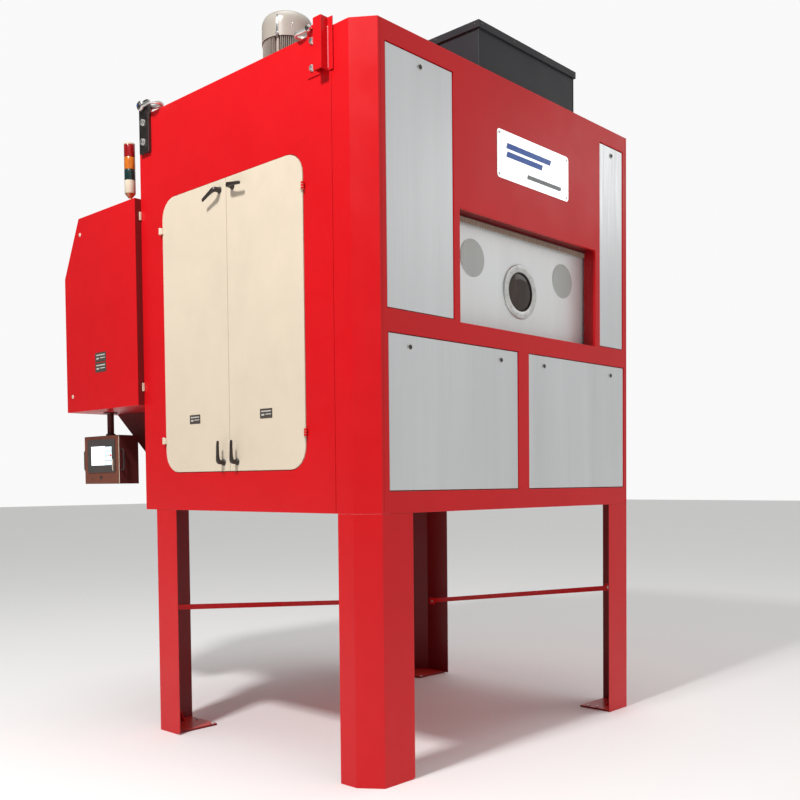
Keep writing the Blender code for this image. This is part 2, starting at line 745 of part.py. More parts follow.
# ---------------------------------------------------------------- roof equipment
def exhaust_duct():
    """The open rectangular outlet duct with a bolted-on angle flange round its top."""
    half = DUCT_WIDTH / 2
    back = DUCT_FRONT + DUCT_LENGTH
    duct = box("exhaust_duct", (DRUM_X - half, DUCT_FRONT, ROOF_TOP + GAP),
               (DRUM_X + half, back, DUCT_TOP), "black_steel")
    out = half + DUCT_FLANGE
    flange = box("flange", (DRUM_X - out, DUCT_FRONT - DUCT_FLANGE, DUCT_TOP - DUCT_FLANGE_HEIGHT),
                 (DRUM_X + out, back + DUCT_FLANGE, DUCT_TOP))
    join(duct, flange)
    cut(duct, box("bore", (DRUM_X - half + SHEET, DUCT_FRONT + SHEET, 3.5),
                  (DRUM_X + half - SHEET, back - SHEET, 3.9)))


def fan_motor():
    """The finned fan motor that stands on the roof, shaft down."""
    fins = 24
    base = ROOF_TOP + GAP
    tip = 0.136
    root = 0.124
    outline = []
    for i in range(fins):
        middle = 2 * pi * i / fins
        for radius, offset in ((root, -0.080), (tip, -0.040), (tip, 0.040), (root, 0.080)):
            outline.append((FAN_X + radius * cos(middle + offset), FAN_Y + radius * sin(middle + offset)))
    motor = plate("fan_motor", outline, base + 0.010, COWL_BOTTOM - 0.0005, "Z", "grey_aluminium")
    flange = cylinder("flange", (FAN_X, FAN_Y, base + 0.010), 0.175, 0.020, sides=40)
    terminals = box("terminals", (FAN_X + 0.110, FAN_Y - 0.055, 3.690), (FAN_X + 0.185, FAN_Y + 0.055, 3.800))
    join(motor, flange, terminals)
    cut(motor, cylinder("bore", (FAN_X, FAN_Y, base + 0.030), 0.021, 0.100, sides=24))


def fan_cover():
    """The domed cowl over the motor's cooling fan, open below."""
    outer = COWL_RADIUS
    inner = outer - 0.003
    low = COWL_BOTTOM
    top = COWL_TOP
    profile = [(0.045, top), (0.100, top - 0.010), (0.133, top - 0.038), (outer, top - 0.075),
               (outer, low), (inner, low), (inner, top - 0.076), (0.130, top - 0.041),
               (0.099, top - 0.013), (0.045, top - 0.003)]
    turned("fan_cover", profile, (FAN_X, FAN_Y, 0), "Z", "grey_aluminium", steps=32, closed=True)


def fan_rotor():
    """The fan shaft with its bladed wheel below the roof."""
    profile = [(0, 3.660), (0.019, 3.660), (0.019, 3.500), (0.045, 3.500), (0.045, 3.480),
               (0.200, 3.480), (0.200, 3.474), (0.045, 3.474), (0.045, 3.380), (0, 3.380)]
    rotor = turned("fan_rotor", profile, (FAN_X, FAN_Y, 0), "Z", "stainless", steps=32)
    blades = []
    for i in range(10):
        blade = box("blade", (0.090, -0.0015, 3.390), (0.196, 0.0015, 3.477))
        blade.data.transform(Matrix.Translation(blade.location - Vector((0.090, 0, 0))))
        swing = Matrix.Rotation(2 * pi * i / 10, 4, "Z") @ Matrix.Translation((0.090, 0, 0))
        blade.data.transform(swing @ Matrix.Rotation(radians(25), 4, "Z"))
        blade.location = (FAN_X, FAN_Y, 0)
        blades.append(blade)
    join(rotor, *blades)


# ---------------------------------------------------------------- loading side
def hood_outline(inset):
    """The loading hood's side view, drawn in from its outside by an inset."""
    rise = HOOD_TOP - HOOD_SLOPE_BOTTOM
    reach = HOOD_BACK - HOOD_SLOPE_TOP_Y
    slope = hypot(rise, reach)
    run = inset * (slope - rise) / reach
    drop = inset * (slope - reach) / rise
    front = HALF_DEPTH + GAP + inset
    return [(front, HOOD_BOTTOM + inset), (HOOD_BACK - inset, HOOD_BOTTOM + inset),
            (HOOD_BACK - inset, HOOD_SLOPE_BOTTOM - run), (HOOD_SLOPE_TOP_Y - drop, HOOD_TOP - inset),
            (front, HOOD_TOP - inset)]


def loading_hood():
    """The cover over the loading side: open to the drum, to the conveyor and to the chute."""
    hood = plate("loading_hood", hood_outline(0), -HOOD_HALF_WIDTH, HOOD_HALF_WIDTH, "X", "red_paint")
    inner = HOOD_HALF_WIDTH - SHEET
    cut(hood, plate("hollow", hood_outline(SHEET), -inner, inner, "X"),
        box("front_way", (-HALF_WIDTH, 0.9, HOOD_BOTTOM + 0.030), (HALF_WIDTH, 1.0, HOOD_TOP - 0.030)),
        box("chute_way", (-CHUTE_HALF_WIDTH + 0.02, 0.985, 1.8), (CHUTE_HALF_WIDTH - 0.02, 1.700, 2.0)),
        box("load_way", (DRUM_X - 0.68, 1.7, 2.000), (DRUM_X + 0.68, 1.9, 2.700)))


def loading_chute():
    """The sloping pan under the hood that leads back to the cabinet."""
    near = HALF_DEPTH + GAP
    top = HOOD_BOTTOM - GAP
    toe = 1.312
    heel = 1.745
    chute = plate("loading_chute", [(near, toe), (heel, top), (near, top)],
                  -CHUTE_HALF_WIDTH, CHUTE_HALF_WIDTH, "X", "red_paint")
    inner = CHUTE_HALF_WIDTH - SHEET
    lift = SHEET * hypot(heel - near, top - toe) / (heel - near)
    hollow = plate("hollow", [(near + SHEET, toe + lift + 0.003), (heel + 0.1, top + lift + 0.080),
                              (near + SHEET, top + lift + 0.080)], -inner, inner, "X")
    cut(chute, hollow)


def pendant_tube():
    top = HOOD_BOTTOM - GAP
    low = CONSOLE_TOP + GAP
    profile = [(0, top), (0.045, top), (0.045, top - 0.006), (PENDANT_RADIUS, top - 0.006),
               (PENDANT_RADIUS, low), (0, low)]
    turned("pendant_tube", profile, (PENDANT_X, PENDANT_Y, 0), "Z", "console_paint", steps=24)


def console_box():
    """The operator's console, with a grab bar on each side."""
    half_x = CONSOLE_DEPTH / 2
    half_y = CONSOLE_WIDTH / 2
    console = box("console_box", (PENDANT_X - half_x, PENDANT_Y - half_y, CONSOLE_BOTTOM),
                  (PENDANT_X + half_x, PENDANT_Y + half_y, CONSOLE_TOP), "console_paint")
    root = half_y - 0.010
    bend = half_y + 0.020
    out = half_y + 0.030
    path = [(root, 1.545), (bend, 1.545), (out, 1.555), (out, 1.665), (bend, 1.675), (root, 1.675)]
    for x, turn in ((GRIP_X, 0), (-GRIP_X, pi)):
        grip = rod("grip", [(x, y, z) for y, z in path], 0.006)
        grip.data.transform(Matrix.Rotation(turn, 4, "Z"))
        grip.location = (PENDANT_X, PENDANT_Y, 0)
        join(console, grip)
    set_origin(console, (PENDANT_X, PENDANT_Y, CONSOLE_BOTTOM))


def console_screen():
    face = PENDANT_X - CONSOLE_DEPTH / 2 - GAP
    outline = rounded_outline((PENDANT_Y - 0.170, 1.530), (PENDANT_Y + 0.170, 1.742), 0.012, 3)
    screen = plate("console_screen", outline, face - 0.006, face, "X", "screen_black")
    set_origin(screen, (PENDANT_X, PENDANT_Y, CONSOLE_BOTTOM))


def signal_tower():
    """A stack of lamps on a tapered foot."""
    foot = HOOD_TOP + GAP
    shoulder, base_top = TOWER_LEVELS[:2]
    turned("signal_base", [(0, base_top), (TOWER_RADIUS, base_top), (TOWER_RADIUS, shoulder),
                           (0.008, TOWER_CONE_BOTTOM), (0.008, foot + 0.006), (0.024, foot + 0.006),
                           (0.024, foot), (0, foot)],
           (TOWER_X, TOWER_Y, 0), "Z", "cream_plastic", steps=20)
    for hue, low, high in zip(("green", "amber", "red"), TOWER_LEVELS[1:], TOWER_LEVELS[2:]):
        low += 0.0005
        turned("signal_lamp_" + hue, [(0, high), (TOWER_RADIUS - 0.003, high), (TOWER_RADIUS, high - 0.003),
                      (TOWER_RADIUS, low + 0.003), (TOWER_RADIUS - 0.003, low), (0, low)],
               (TOWER_X, TOWER_Y, 0), "Z", hue + "_lens", steps=20)


# ---------------------------------------------------------------- lifting points
def lifting_plate():
    """The flat bar bolted to the rear corner, with the hole for its shackle."""
    outer = -HALF_WIDTH - GAP
    bar = plate("lifting_plate", [(0.824, 3.372), (0.920, 3.372), (0.920, 3.660), (0.906, 3.672),
                                  (0.838, 3.672), (0.824, 3.660)], outer - 0.020, outer, "X", "black_steel")
    bolts = [cylinder("bolt", (outer - 0.020, 0.878, z), 0.016, 0.024, "X", sides=6) for z in (3.436, 3.547)]
    join(bar, *bolts)
    cut(bar, cylinder("eye", REAR_PIN, REAR_SHACKLE["pin"] + EYE_CLEARANCE, 0.1, "X", sides=24))


def lifting_bracket():
    """The folded hat-section bracket near the front corner, with an eye for its shackle."""
    base = -HALF_WIDTH - GAP
    stand = base - HAT_REACH
    rear, fold, crest, end = HAT_FOLDS
    path = [(base, rear), (base, fold), (stand, fold), (stand, crest), (base, crest), (base, end)]
    bracket = folded_sheet("lifting_bracket", path, HAT_BOTTOM, HAT_TOP, -LEG_SHEET, "red_paint")
    freeze(bracket)
    bolts = [cylinder("bolt", (base - LEG_SHEET - 0.006, -0.594, z), 0.015, 0.016, "X", sides=6)
             for z in (3.436, 3.564)]
    join(bracket, *bolts)
    cut(bracket, cylinder("eye", FRONT_PIN, FRONT_SHACKLE["pin"] + EYE_CLEARANCE, 0.030, "X", sides=24))


def shackle(name, pin, facing, size):
    """A bow shackle lying on its side; its pin is the hinge."""
    apart = size["apart"]
    bow = [(-apart, 0), (-apart, size["leg"])]
    bow += arc((0, size["crown"]), size["bow"], 200, -20, 8)
    bow += [(apart, size["leg"]), (apart, 0)]
    body = rod(name, [(x, y, 0) for x, y in bow], size["rod"], "polished_steel")
    ears = [cylinder("ear", (side * apart, 0, 0), size["ear"], size["rod"] * 1.6, "X", sides=20)
            for side in (-1, 1)]
    bolt = cylinder("bolt", (0, 0, 0), size["pin"], size["pin_length"], "X", sides=16)
    join(body, *ears, bolt)
    tilt = Matrix.Rotation(-SHACKLE_TILT, 4, "X")
    turn = Matrix.Identity(4) if facing > 0 else Matrix.Rotation(pi, 4, "Z")
    body.data.transform(turn @ tilt)
    body.location = pin


# ---------------------------------------------------------------- the whole machine
def build():
    legs()
    tie_bars()
    floor_pan()
    corner_post("corner_post_left", -1)
    corner_post("corner_post_right", 1)
    front_fascia()
    left_wall()
    right_wall()
    rear_wall()
    roof_panel()
    discharge_frame()
    wiper_seal()
    front_panels()
    panel_locks()
    name_plate()
    drum()
    drum_rollers()
    drive_motor()
    heater_battery()
    lint_filter()
    service_leaf("service_door_rear", LEAF_REAR_Y, LEAF_SPLIT_Y)
    service_leaf("service_door_front", LEAF_FRONT_Y, LEAF_SPLIT_Y)
    latch_handles()
    discharge_door()
    door_cylinder()
    porthole()
    exhaust_duct()
    fan_motor()
    fan_cover()
    fan_rotor()
    loading_hood()
    loading_chute()
    pendant_tube()
    console_box()
    console_screen()
    signal_tower()
    lifting_plate()
    lifting_bracket()
    shackle("shackle_rear", REAR_PIN, -1, REAR_SHACKLE)
    shackle("shackle_front", FRONT_PIN, 1, FRONT_SHACKLE)


build()
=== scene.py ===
"""The looks of the pass-through tumble dryer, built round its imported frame, in metres.

+X is to the right of someone facing the discharge side, +Y runs to the loading side, +Z is up.
"""
import json
from math import ceil, cos, hypot, pi, radians, sin
from random import Random
import bmesh
import bpy
from mathutils import Matrix, Vector


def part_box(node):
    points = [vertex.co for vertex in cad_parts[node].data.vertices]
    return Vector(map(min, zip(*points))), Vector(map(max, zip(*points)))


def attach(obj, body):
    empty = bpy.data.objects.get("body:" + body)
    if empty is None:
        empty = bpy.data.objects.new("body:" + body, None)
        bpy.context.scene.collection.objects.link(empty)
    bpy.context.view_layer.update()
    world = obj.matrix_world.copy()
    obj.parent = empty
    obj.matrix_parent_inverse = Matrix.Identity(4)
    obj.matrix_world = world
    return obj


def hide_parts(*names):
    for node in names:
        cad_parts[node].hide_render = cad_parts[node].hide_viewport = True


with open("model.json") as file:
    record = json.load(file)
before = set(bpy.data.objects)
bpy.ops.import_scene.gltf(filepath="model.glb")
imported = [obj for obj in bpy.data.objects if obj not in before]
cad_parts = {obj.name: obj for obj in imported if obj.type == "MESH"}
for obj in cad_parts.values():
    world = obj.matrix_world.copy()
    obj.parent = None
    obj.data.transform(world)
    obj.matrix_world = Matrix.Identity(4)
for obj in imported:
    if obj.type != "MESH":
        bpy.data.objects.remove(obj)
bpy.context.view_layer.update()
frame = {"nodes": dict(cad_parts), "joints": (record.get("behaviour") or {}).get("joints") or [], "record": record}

NODES = frame["nodes"]
JOINTS = {joint["name"]: joint for joint in frame["joints"]}
SLOT_OF = {part["node"]: part["material_slot"] for part in frame["record"]["subparts"]}
SHARP = radians(35)

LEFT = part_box("left_wall")[0].x
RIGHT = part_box("right_wall")[1].x
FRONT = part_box("front_fascia")[0].y
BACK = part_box("rear_wall")[1].y
MIDDLE = Vector(((LEFT + RIGHT) / 2, (FRONT + BACK) / 2, 0))


# ---- materials
def add_node(tree, kind, values=None, **settings):
    """Add a shader node; each value goes to the input of its name or number, linked when it is a socket."""
    node = tree.nodes.new("ShaderNode" + kind)
    for name, setting in settings.items():
        setattr(node, name, setting)
    for socket, value in (values or {}).items():
        if isinstance(value, bpy.types.NodeSocket):
            tree.links.new(value, node.inputs[socket])
        else:
            node.inputs[socket].default_value = value
    return node.outputs


class Look:
    """A Principled material, with short-hands for the nodes that give it its detail."""

    def __init__(self, name, colour, roughness, metallic=0.0, **sockets):
        self.material = bpy.data.materials.new(name)
        self.material.use_nodes = True
        self.tree = self.material.node_tree
        self.inputs = self.tree.nodes["Principled BSDF"].inputs
        self.colour = (*colour, 1.0)
        self.inputs["Base Color"].default_value = self.colour
        self.inputs["Roughness"].default_value = roughness
        self.inputs["Metallic"].default_value = metallic
        for socket, value in sockets.items():
            self.inputs[socket.replace("_", " ")].default_value = value
        self.place = self.node("TexCoord")["Object"]

    def node(self, kind, values=None, **settings):
        return add_node(self.tree, kind, values, **settings)

    def stretched(self, stretch):
        """The object's own coordinates, squeezed along each axis."""
        return self.node("Mapping", {"Scale": stretch, "Vector": self.place})["Vector"]

    def noise(self, scale, detail=2.0, stretch=(1, 1, 1)):
        values = {"Scale": scale, "Detail": detail, "Vector": self.stretched(stretch)}
        return self.node("TexNoise", values)["Fac"]

    def cells(self, scale):
        return self.node("TexVoronoi", {"Scale": scale, "Vector": self.stretched((1, 1, 1))})["Distance"]

    def weave(self, scale):
        """Threads that cross in the plane of the left side."""
        waves = [self.node("TexWave", {"Scale": scale, "Vector": self.stretched((1, 1, 1))},
                           bands_direction=axis)["Fac"] for axis in "YZ"]
        return self.product(*waves)

    def ranged(self, source, low, high, start=0.3, end=0.7):
        """A factor spread from low to high as the source goes from start to end."""
        return self.node("MapRange", {"Value": source, "From Min": start, "From Max": end,
                                      "To Min": low, "To Max": high})["Result"]

    def product(self, first, second):
        return self.node("Math", {0: first, 1: second}, operation="MULTIPLY")["Value"]

    def facing(self, up=1):
        """1 on faces that look up, or down when up is -1, and 0 on upright ones."""
        normal = self.node("NewGeometry")["Normal"]
        height = self.node("SeparateXYZ", {"Vector": normal})["Z"]
        return self.ranged(height, 0.0, 1.0, 0.55 * up, 0.95 * up)

    def inward(self):
        """1 on upright faces that look to the machine's middle, 0 on those that look away."""
        here = self.node("NewGeometry")
        away = self.node("VectorMath", {0: here["Position"], 1: MIDDLE}, operation="SUBTRACT")["Vector"]
        level = self.node("VectorMath", {0: away, 1: (-1, -1, 0)}, operation="MULTIPLY")["Vector"]
        toward = self.node("VectorMath", {0: level}, operation="NORMALIZE")["Vector"]
        turn = self.node("VectorMath", {0: toward, 1: here["Normal"]}, operation="DOT_PRODUCT")["Value"]
        return self.ranged(turn, 0.0, 1.0, 0.20, 0.45)

    def blend(self, factor, first, second, target):
        mixed = self.node("Mix", {"A": first, "B": (*second, 1.0), "Factor": factor}, data_type="RGBA")
        self.tree.links.new(mixed["Result"], self.inputs[target])

    def tint(self, factor, colour):
        """Blend the colour so far with another one."""
        links = self.inputs["Base Color"].links
        self.blend(factor, links[0].from_socket if links else self.colour, colour, "Base Color")

    def rough(self, source, low, high):
        self.tree.links.new(self.ranged(source, low, high), self.inputs["Roughness"])

    def bump(self, height, depth):
        """Raise the surface by a height map, on top of the bumps so far."""
        values = {"Strength": 1.0, "Distance": depth, "Height": height}
        if self.inputs["Normal"].is_linked:
            values["Normal"] = self.inputs["Normal"].links[0].from_socket
        self.tree.links.new(self.node("Bump", values)["Normal"], self.inputs["Normal"])


def shaded(colour, factor):
    return tuple(channel * factor for channel in colour)


def paint(name, colour, roughness, dust=(0.45, 0.30, 0.20), peel=0.00012, coat=0.16, gloss=0.20, underside_shade=0.9,
          inner_face_shade=None):
    """Sprayed enamel: orange peel, soft patches, smudged gloss, dust on top, painted shade on faces that look down
    and, when asked, on faces that look inward.
    """
    look = Look(name, colour, roughness, Specular_IOR_Level=gloss, Coat_Weight=coat, Coat_Roughness=0.20)
    look.tint(look.ranged(look.noise(1.3), 0.0, 0.55), shaded(colour, 0.86))
    look.tint(look.ranged(look.noise(9.0, 4.0), 0.0, 0.20), shaded(colour, 1.12))
    look.tint(look.product(look.facing(), look.ranged(look.noise(11.0, 6.0), 0.10, 0.26)), dust)
    # painted shade: faces that look down get a darker copy of the colour
    look.tint(look.facing(-1), shaded(colour, underside_shade))
    if inner_face_shade:
        # painted shade: faces that look to the machine's middle get the given darker red
        look.tint(look.inward(), inner_face_shade)
    look.rough(look.noise(5.0, 5.0), roughness - 0.06, roughness + 0.08)
    look.bump(look.noise(260.0, 1.0), peel)
    return look.material


def brushed(name, colour, roughness, grain=(240, 240, 2.5), bands=0.12, depth=0.00006, metallic=1.0):
    """Sheet metal with a straight grain and the soft uneven bands of rolled sheet."""
    look = Look(name, colour, roughness, metallic)
    look.tint(look.ranged(look.noise(1.0, 2.0, (5.0, 5.0, 0.35)), 0.0, 1.0), shaded(colour, 1.0 - bands))
    look.tint(look.ranged(look.noise(2.2, 3.0), 0.0, 0.5), shaded(colour, 1.0 - bands / 2))
    fine = look.noise(1.0, 2.0, grain)
    look.tint(look.ranged(fine, 0.0, 0.25), shaded(colour, 0.82))
    look.rough(fine, roughness - 0.07, roughness + 0.09)
    look.bump(fine, depth)
    return look.material


def plated(name, colour, roughness, depth=0.00015, scale=60.0):
    """Cast, plated or forged metal with a slightly uneven skin."""
    look = Look(name, colour, roughness, 1.0)
    patch = look.noise(scale / 3, 4.0)
    look.tint(look.ranged(patch, 0.0, 0.6), shaded(colour, 0.72))
    look.rough(patch, roughness - 0.06, roughness + 0.12)
    look.bump(look.noise(scale * 4, 2.0), depth)
    return look.material


def moulded(name, colour, roughness, depth=0.00010, scale=900.0, **sockets):
    """Moulded plastic or rubber with a fine grain."""
    look = Look(name, colour, roughness, **sockets)
    look.tint(look.ranged(look.noise(14.0, 3.0), 0.0, 0.5), shaded(colour, 0.80))
    look.rough(look.noise(30.0, 3.0), roughness - 0.05, roughness + 0.08)
    look.bump(look.noise(scale, 1.0), depth)
    return look.material


def lens(name, colour):
    """A ribbed signal lens: clear skin over a colour that deepens between the inner ribs."""
    look = Look(name, colour, 0.16, Coat_Weight=0.6, Coat_Roughness=0.05, Transmission_Weight=0.15)
    look.tint(look.ranged(look.noise(70.0, 2.0, (1, 1, 0.2)), 0.0, 0.8), shaded(colour, 0.45))
    look.bump(look.noise(420.0, 1.0, (1, 1, 0.08)), 0.0004)
    return look.material


def perforated(name, colour, roughness):
    """Stainless sheet with rows of small dark drying holes."""
    look = Look(name, colour, roughness, 1.0)
    fine = look.noise(1.0, 2.0, (200, 2.5, 200))
    look.tint(look.ranged(fine, 0.0, 0.3), shaded(colour, 0.75))
    dots = look.cells(30.0)
    look.tint(look.ranged(dots, 1.0, 0.0, 0.20, 0.26), (0.01, 0.01, 0.01))
    look.bump(look.ranged(dots, 0.0, 1.0, 0.18, 0.30), 0.002)
    look.rough(fine, roughness - 0.05, roughness + 0.10)
    return look.material


def woven(name, colour):
    """A lint screen: fine square mesh with grey fluff on it."""
    look = Look(name, colour, 0.9)
    weave = look.weave(95.0)
    look.tint(look.ranged(weave, 0.7, 0.0, 0.05, 0.5), shaded(colour, 0.25))
    look.tint(look.ranged(look.noise(7.0, 6.0), 0.0, 0.5, 0.45, 0.7), (0.62, 0.62, 0.60))
    look.bump(weave, 0.0008)
    return look.material


def smoked(name):
    """The sight glass: thick, smoked and a little streaky."""
    look = Look(name, (0.080, 0.054, 0.042), 0.08, Transmission_Weight=0.15, Specular_IOR_Level=0.3)
    look.tint(look.ranged(look.noise(9.0, 3.0, (1.6, 1, 0.5)), 0.0, 1.0), (0.018, 0.014, 0.013))
    look.rough(look.noise(20.0, 4.0), 0.03, 0.14)
    return look.material


def lit(name, colour, strength):
    """A lit patch of the operator's screen, with the faint grid of its panel."""
    look = Look(name, colour, 0.3)
    grid = look.ranged(look.weave(160.0), 0.85, 1.0, 0.0, 0.4)
    look.blend(grid, (0, 0, 0, 1), colour, "Emission Color")
    look.inputs["Emission Strength"].default_value = strength
    return look.material


RED = (0.66, 0.006, 0.010)
M = {
    "red_paint": paint("red_enamel", RED, 0.34),
    # The legs' faces that look inward get a darker red as painted shade.
    "leg_inner_shade_paint": paint("leg_enamel_shaded_inside", RED, 0.34, inner_face_shade=(0.17, 0.006, 0.008)),
    # A darker red as painted shade in the recess, with its ceiling darker still.
    "crimson": paint("crimson_enamel", (0.40, 0.005, 0.011), 0.40, underside_shade=0.40),
    # A dark red as painted shade: the chute in the hood's shadow and the strip on the hood's front edge.
    "shade_red": paint("shade_red_enamel", (0.15, 0.008, 0.009), 0.45, dust=(0.20, 0.10, 0.08)),
    # The console's body and front door share one brown-red paint: a shaded copy on the body as painted shade, a
    # lit copy on the door as painted light.
    "console_paint": paint("console_shaded_enamel", (0.085, 0.018, 0.017), 0.42, dust=(0.20, 0.10, 0.08)),
    "console_lit_front": paint("console_lit_door_enamel", (0.19, 0.060, 0.036), 0.40, dust=(0.25, 0.12, 0.08)),
    "cream_paint": paint("cream_enamel", (0.74, 0.63, 0.49), 0.42, dust=(0.6, 0.55, 0.45), peel=0.00008),
    "stainless": brushed("brushed_stainless", (0.80, 0.815, 0.82), 0.36),
    "door_sheet": brushed("satin_stainless", (0.93, 0.96, 0.955), 0.40, bands=0.08, metallic=0.35),
    "disc_sheet": brushed("dull_stainless", (0.56, 0.58, 0.56), 0.48, bands=0.16, metallic=0.35),
    "polished_steel": brushed("polished_stainless", (0.86, 0.86, 0.85), 0.14, bands=0.06, depth=0.00002),
    "zinc": plated("zinc_plate", (0.70, 0.70, 0.68), 0.30),
    "bright_zinc": plated("bright_zinc", (0.90, 0.89, 0.86), 0.34, depth=0.0003),
    # The weld is pinker and lighter than the enamel: partly bare, unevenly painted weld and partly a painted
    # highlight of its dabs.
    "weld_paint": paint("weld_with_painted_glint", (0.68, 0.13, 0.15), 0.36, peel=0.0008),
    "black_steel": paint("black_sheet", (0.032, 0.032, 0.036), 0.46, dust=(0.10, 0.09, 0.08), peel=0.00008),
    "dark_steel": plated("mill_steel", (0.12, 0.105, 0.10), 0.42),
    "grey_aluminium": plated("cast_aluminium", (0.60, 0.575, 0.54), 0.36, depth=0.0003),
    "motor_enamel": paint("motor_enamel", (0.40, 0.367, 0.318), 0.26, dust=(0.42, 0.38, 0.33), coat=0.4,
                          gloss=0.5),
    "bronze": plated("bronze_socket", (0.50, 0.24, 0.13), 0.32),
    "smoked_glass": smoked("smoked_sight_glass"),
    "screen_black": moulded("screen_bezel", (0.070, 0.060, 0.055), 0.34),
    "black_plastic": moulded("black_lever_plastic", (0.026, 0.018, 0.015), 0.42),
    "cream_plastic": moulded("cream_tower_plastic", (0.74, 0.64, 0.50), 0.35, scale=500.0),
    "red_lens": lens("red_signal_lens", (0.50, 0.008, 0.012)),
    "amber_lens": lens("amber_signal_lens", (0.95, 0.25, 0.02)),
    "green_lens": lens("green_signal_lens", (0.010, 0.045, 0.040)),
    "rubber": moulded("black_rubber", (0.030, 0.028, 0.027), 0.72, scale=600.0),
    # A dark red for the wiper holder, as painted shade under the fascia's lip.
    "holder_shade": moulded("shade_red_seal", (0.10, 0.006, 0.008), 0.60, scale=400.0),
    "bristle": moulded("brown_bristle", (0.44, 0.33, 0.26), 0.80, scale=300.0),
    "filter_cloth": woven("lint_screen", (0.42, 0.43, 0.43)),
    "drum_sheet": perforated("perforated_drum", (0.60, 0.61, 0.61), 0.30),
    "label_dark": moulded("label_foil", (0.075, 0.060, 0.050), 0.40, scale=300.0),
    "label_light": moulded("label_print", (0.60, 0.57, 0.52), 0.50, scale=300.0),
    "enamel_blue": moulded("blue_enamel", (0.015, 0.10, 0.45), 0.25, scale=300.0),
    "enamel_grey": moulded("grey_enamel", (0.22, 0.23, 0.24), 0.30, scale=300.0),
    "screen_white": lit("screen_page", (0.93, 0.98, 1.0), 1.0),
    "screen_blue": lit("screen_column", (0.62, 0.80, 0.88), 0.9),
    "screen_red": lit("screen_button", (0.95, 0.10, 0.08), 0.9),
}
# discharge_frame takes a darker red as painted shade of the recess.
NODE_LOOKS = {"drum": "drum_sheet", "discharge_door": "door_sheet", "discharge_frame": "crimson",
              # loading_chute takes a dark red as painted shade of the hood above it.
              "loading_chute": "shade_red",
              # the legs take the paint whose inward faces carry painted shade
              **{name: "leg_inner_shade_paint" for name in NODES if name.startswith("leg_")}}


# ---- shapes
def skin(shape, rings, loop=False):
    """Join rings of points into a skin, capped at both ends unless it closes on itself."""
    rows = [[shape.verts.new(point) for point in ring] for ring in rings]
    nexts = rows[1:] + rows[:1] if loop else rows[1:]
    for low, high in zip(rows, nexts):
        for i in range(len(low)):
            j = (i + 1) % len(low)
            shape.faces.new((low[i], low[j], high[j], high[i]))
    if not loop:
        shape.faces.new(rows[0][::-1])
        shape.faces.new(rows[-1])


def basis(direction):
    """Two directions square to a third one."""
    ahead = Vector(direction).normalized()
    side = ahead.cross(Vector((0, 0, 1)) if abs(ahead.z) < 0.9 else Vector((0, 1, 0))).normalized()
    return side, ahead.cross(side)


def stacked(levels, axis):
    """Rings of points from (height, outline) levels, the height being along the axis."""
    order = {"X": (2, 0, 1), "Y": (0, 2, 1), "Z": (0, 1, 2)}[axis]
    return [[[(u, v, height)[i] for i in order] for u, v in outline] for height, outline in levels]


def prism(shape, outline, low, high, axis="Z"):
    """An outline in (x, y), (y, z) or (x, z) drawn out along the remaining axis."""
    skin(shape, stacked([(low, outline), (high, outline)], axis))


def block(shape, low, high):
    corners = [(low[0], low[1]), (high[0], low[1]), (high[0], high[1]), (low[0], high[1])]
    prism(shape, corners, low[2], high[2])


def rim(outer, inner, near, far, axis):
    """The four levels of a flat ring between two outlines."""
    return stacked([(near, outer), (far, outer), (far, inner), (near, inner)], axis)


def circle(centre, side, up, radius, steps, turn=0.0):
    """Points round a centre, in the plane of two directions."""
    turns = [turn + 2 * pi * i / steps for i in range(steps)]
    return [centre + (side * cos(a) + up * sin(a)) * radius for a in turns]


def turned(shape, profile, centre, axis, steps=32, loop=False, turn=0.0):
    """A turned body from (radius, height) points, heights along the axis from the centre."""
    side, up = basis(axis)
    centre = Vector(centre)
    ahead = Vector(axis).normalized()
    rings = [circle(centre + ahead * height, side, up, radius, steps, turn) for radius, height in profile]
    skin(shape, rings, loop)


def tube(shape, points, radius, sides=10, loop=False):
    """A round bar along points; radius may be one number or one for each point."""
    points = [Vector(point) for point in points]
    count = len(points)
    radii = radius if isinstance(radius, (list, tuple)) else [radius] * count
    rings = []
    side = None
    for i, point in enumerate(points):
        before = points[i - 1] if i or loop else point
        after = points[(i + 1) % count] if i < count - 1 or loop else point
        ahead = (after - before).normalized()
        if side is None:
            side = basis(ahead)[0]
        side = (side - ahead * side.dot(ahead)).normalized()
        rings.append(circle(point, side, ahead.cross(side), radii[i], sides))
    skin(shape, rings, loop)


def arc(centre, radius, start, end, steps):
    sweep = [radians(start + (end - start) * i / steps) for i in range(steps + 1)]
    return [(centre[0] + radius * cos(a), centre[1] + radius * sin(a)) for a in sweep]


def rounded(low, high, radius, steps=6):
    """A rectangle's outline with round corners."""
    x0, y0, x1, y1 = low[0] + radius, low[1] + radius, high[0] - radius, high[1] - radius
    corners = (((x1, y0), -90), ((x1, y1), 0), ((x0, y1), 90), ((x0, y0), 180))
    return [point for corner, start in corners for point in arc(corner, radius, start, start + 90, steps)]


def spread(low, high, count):
    """Even steps from low to high, with both ends."""
    return [low + (high - low) * i / (count - 1) for i in range(count)]


def hex_bolt(shape, foot, axis, size, turn=0.0):
    """A washer and a chamfered hexagon head, size being the thread's diameter."""
    turned(shape, [(0, 0), (size * 1.15, 0), (size * 1.15, size * 0.14), (0, size * 0.14)], foot, axis, 20)
    turned(shape, [(size * 0.98, size * 0.14), (size * 0.98, size * 0.66), (size * 0.84, size * 0.78),
                   (size * 0.3, size * 0.78)], foot, axis, 6, turn=turn)


def dome_screw(shape, foot, axis, radius, height):
    """A low round head with a shallow socket."""
    profile = [(0, 0), (radius, 0), (radius, height * 0.25), (radius * 0.8, height * 0.8),
               (radius * 0.45, height), (radius * 0.40, height * 0.55), (0, height * 0.50)]
    turned(shape, profile, foot, axis, 14)


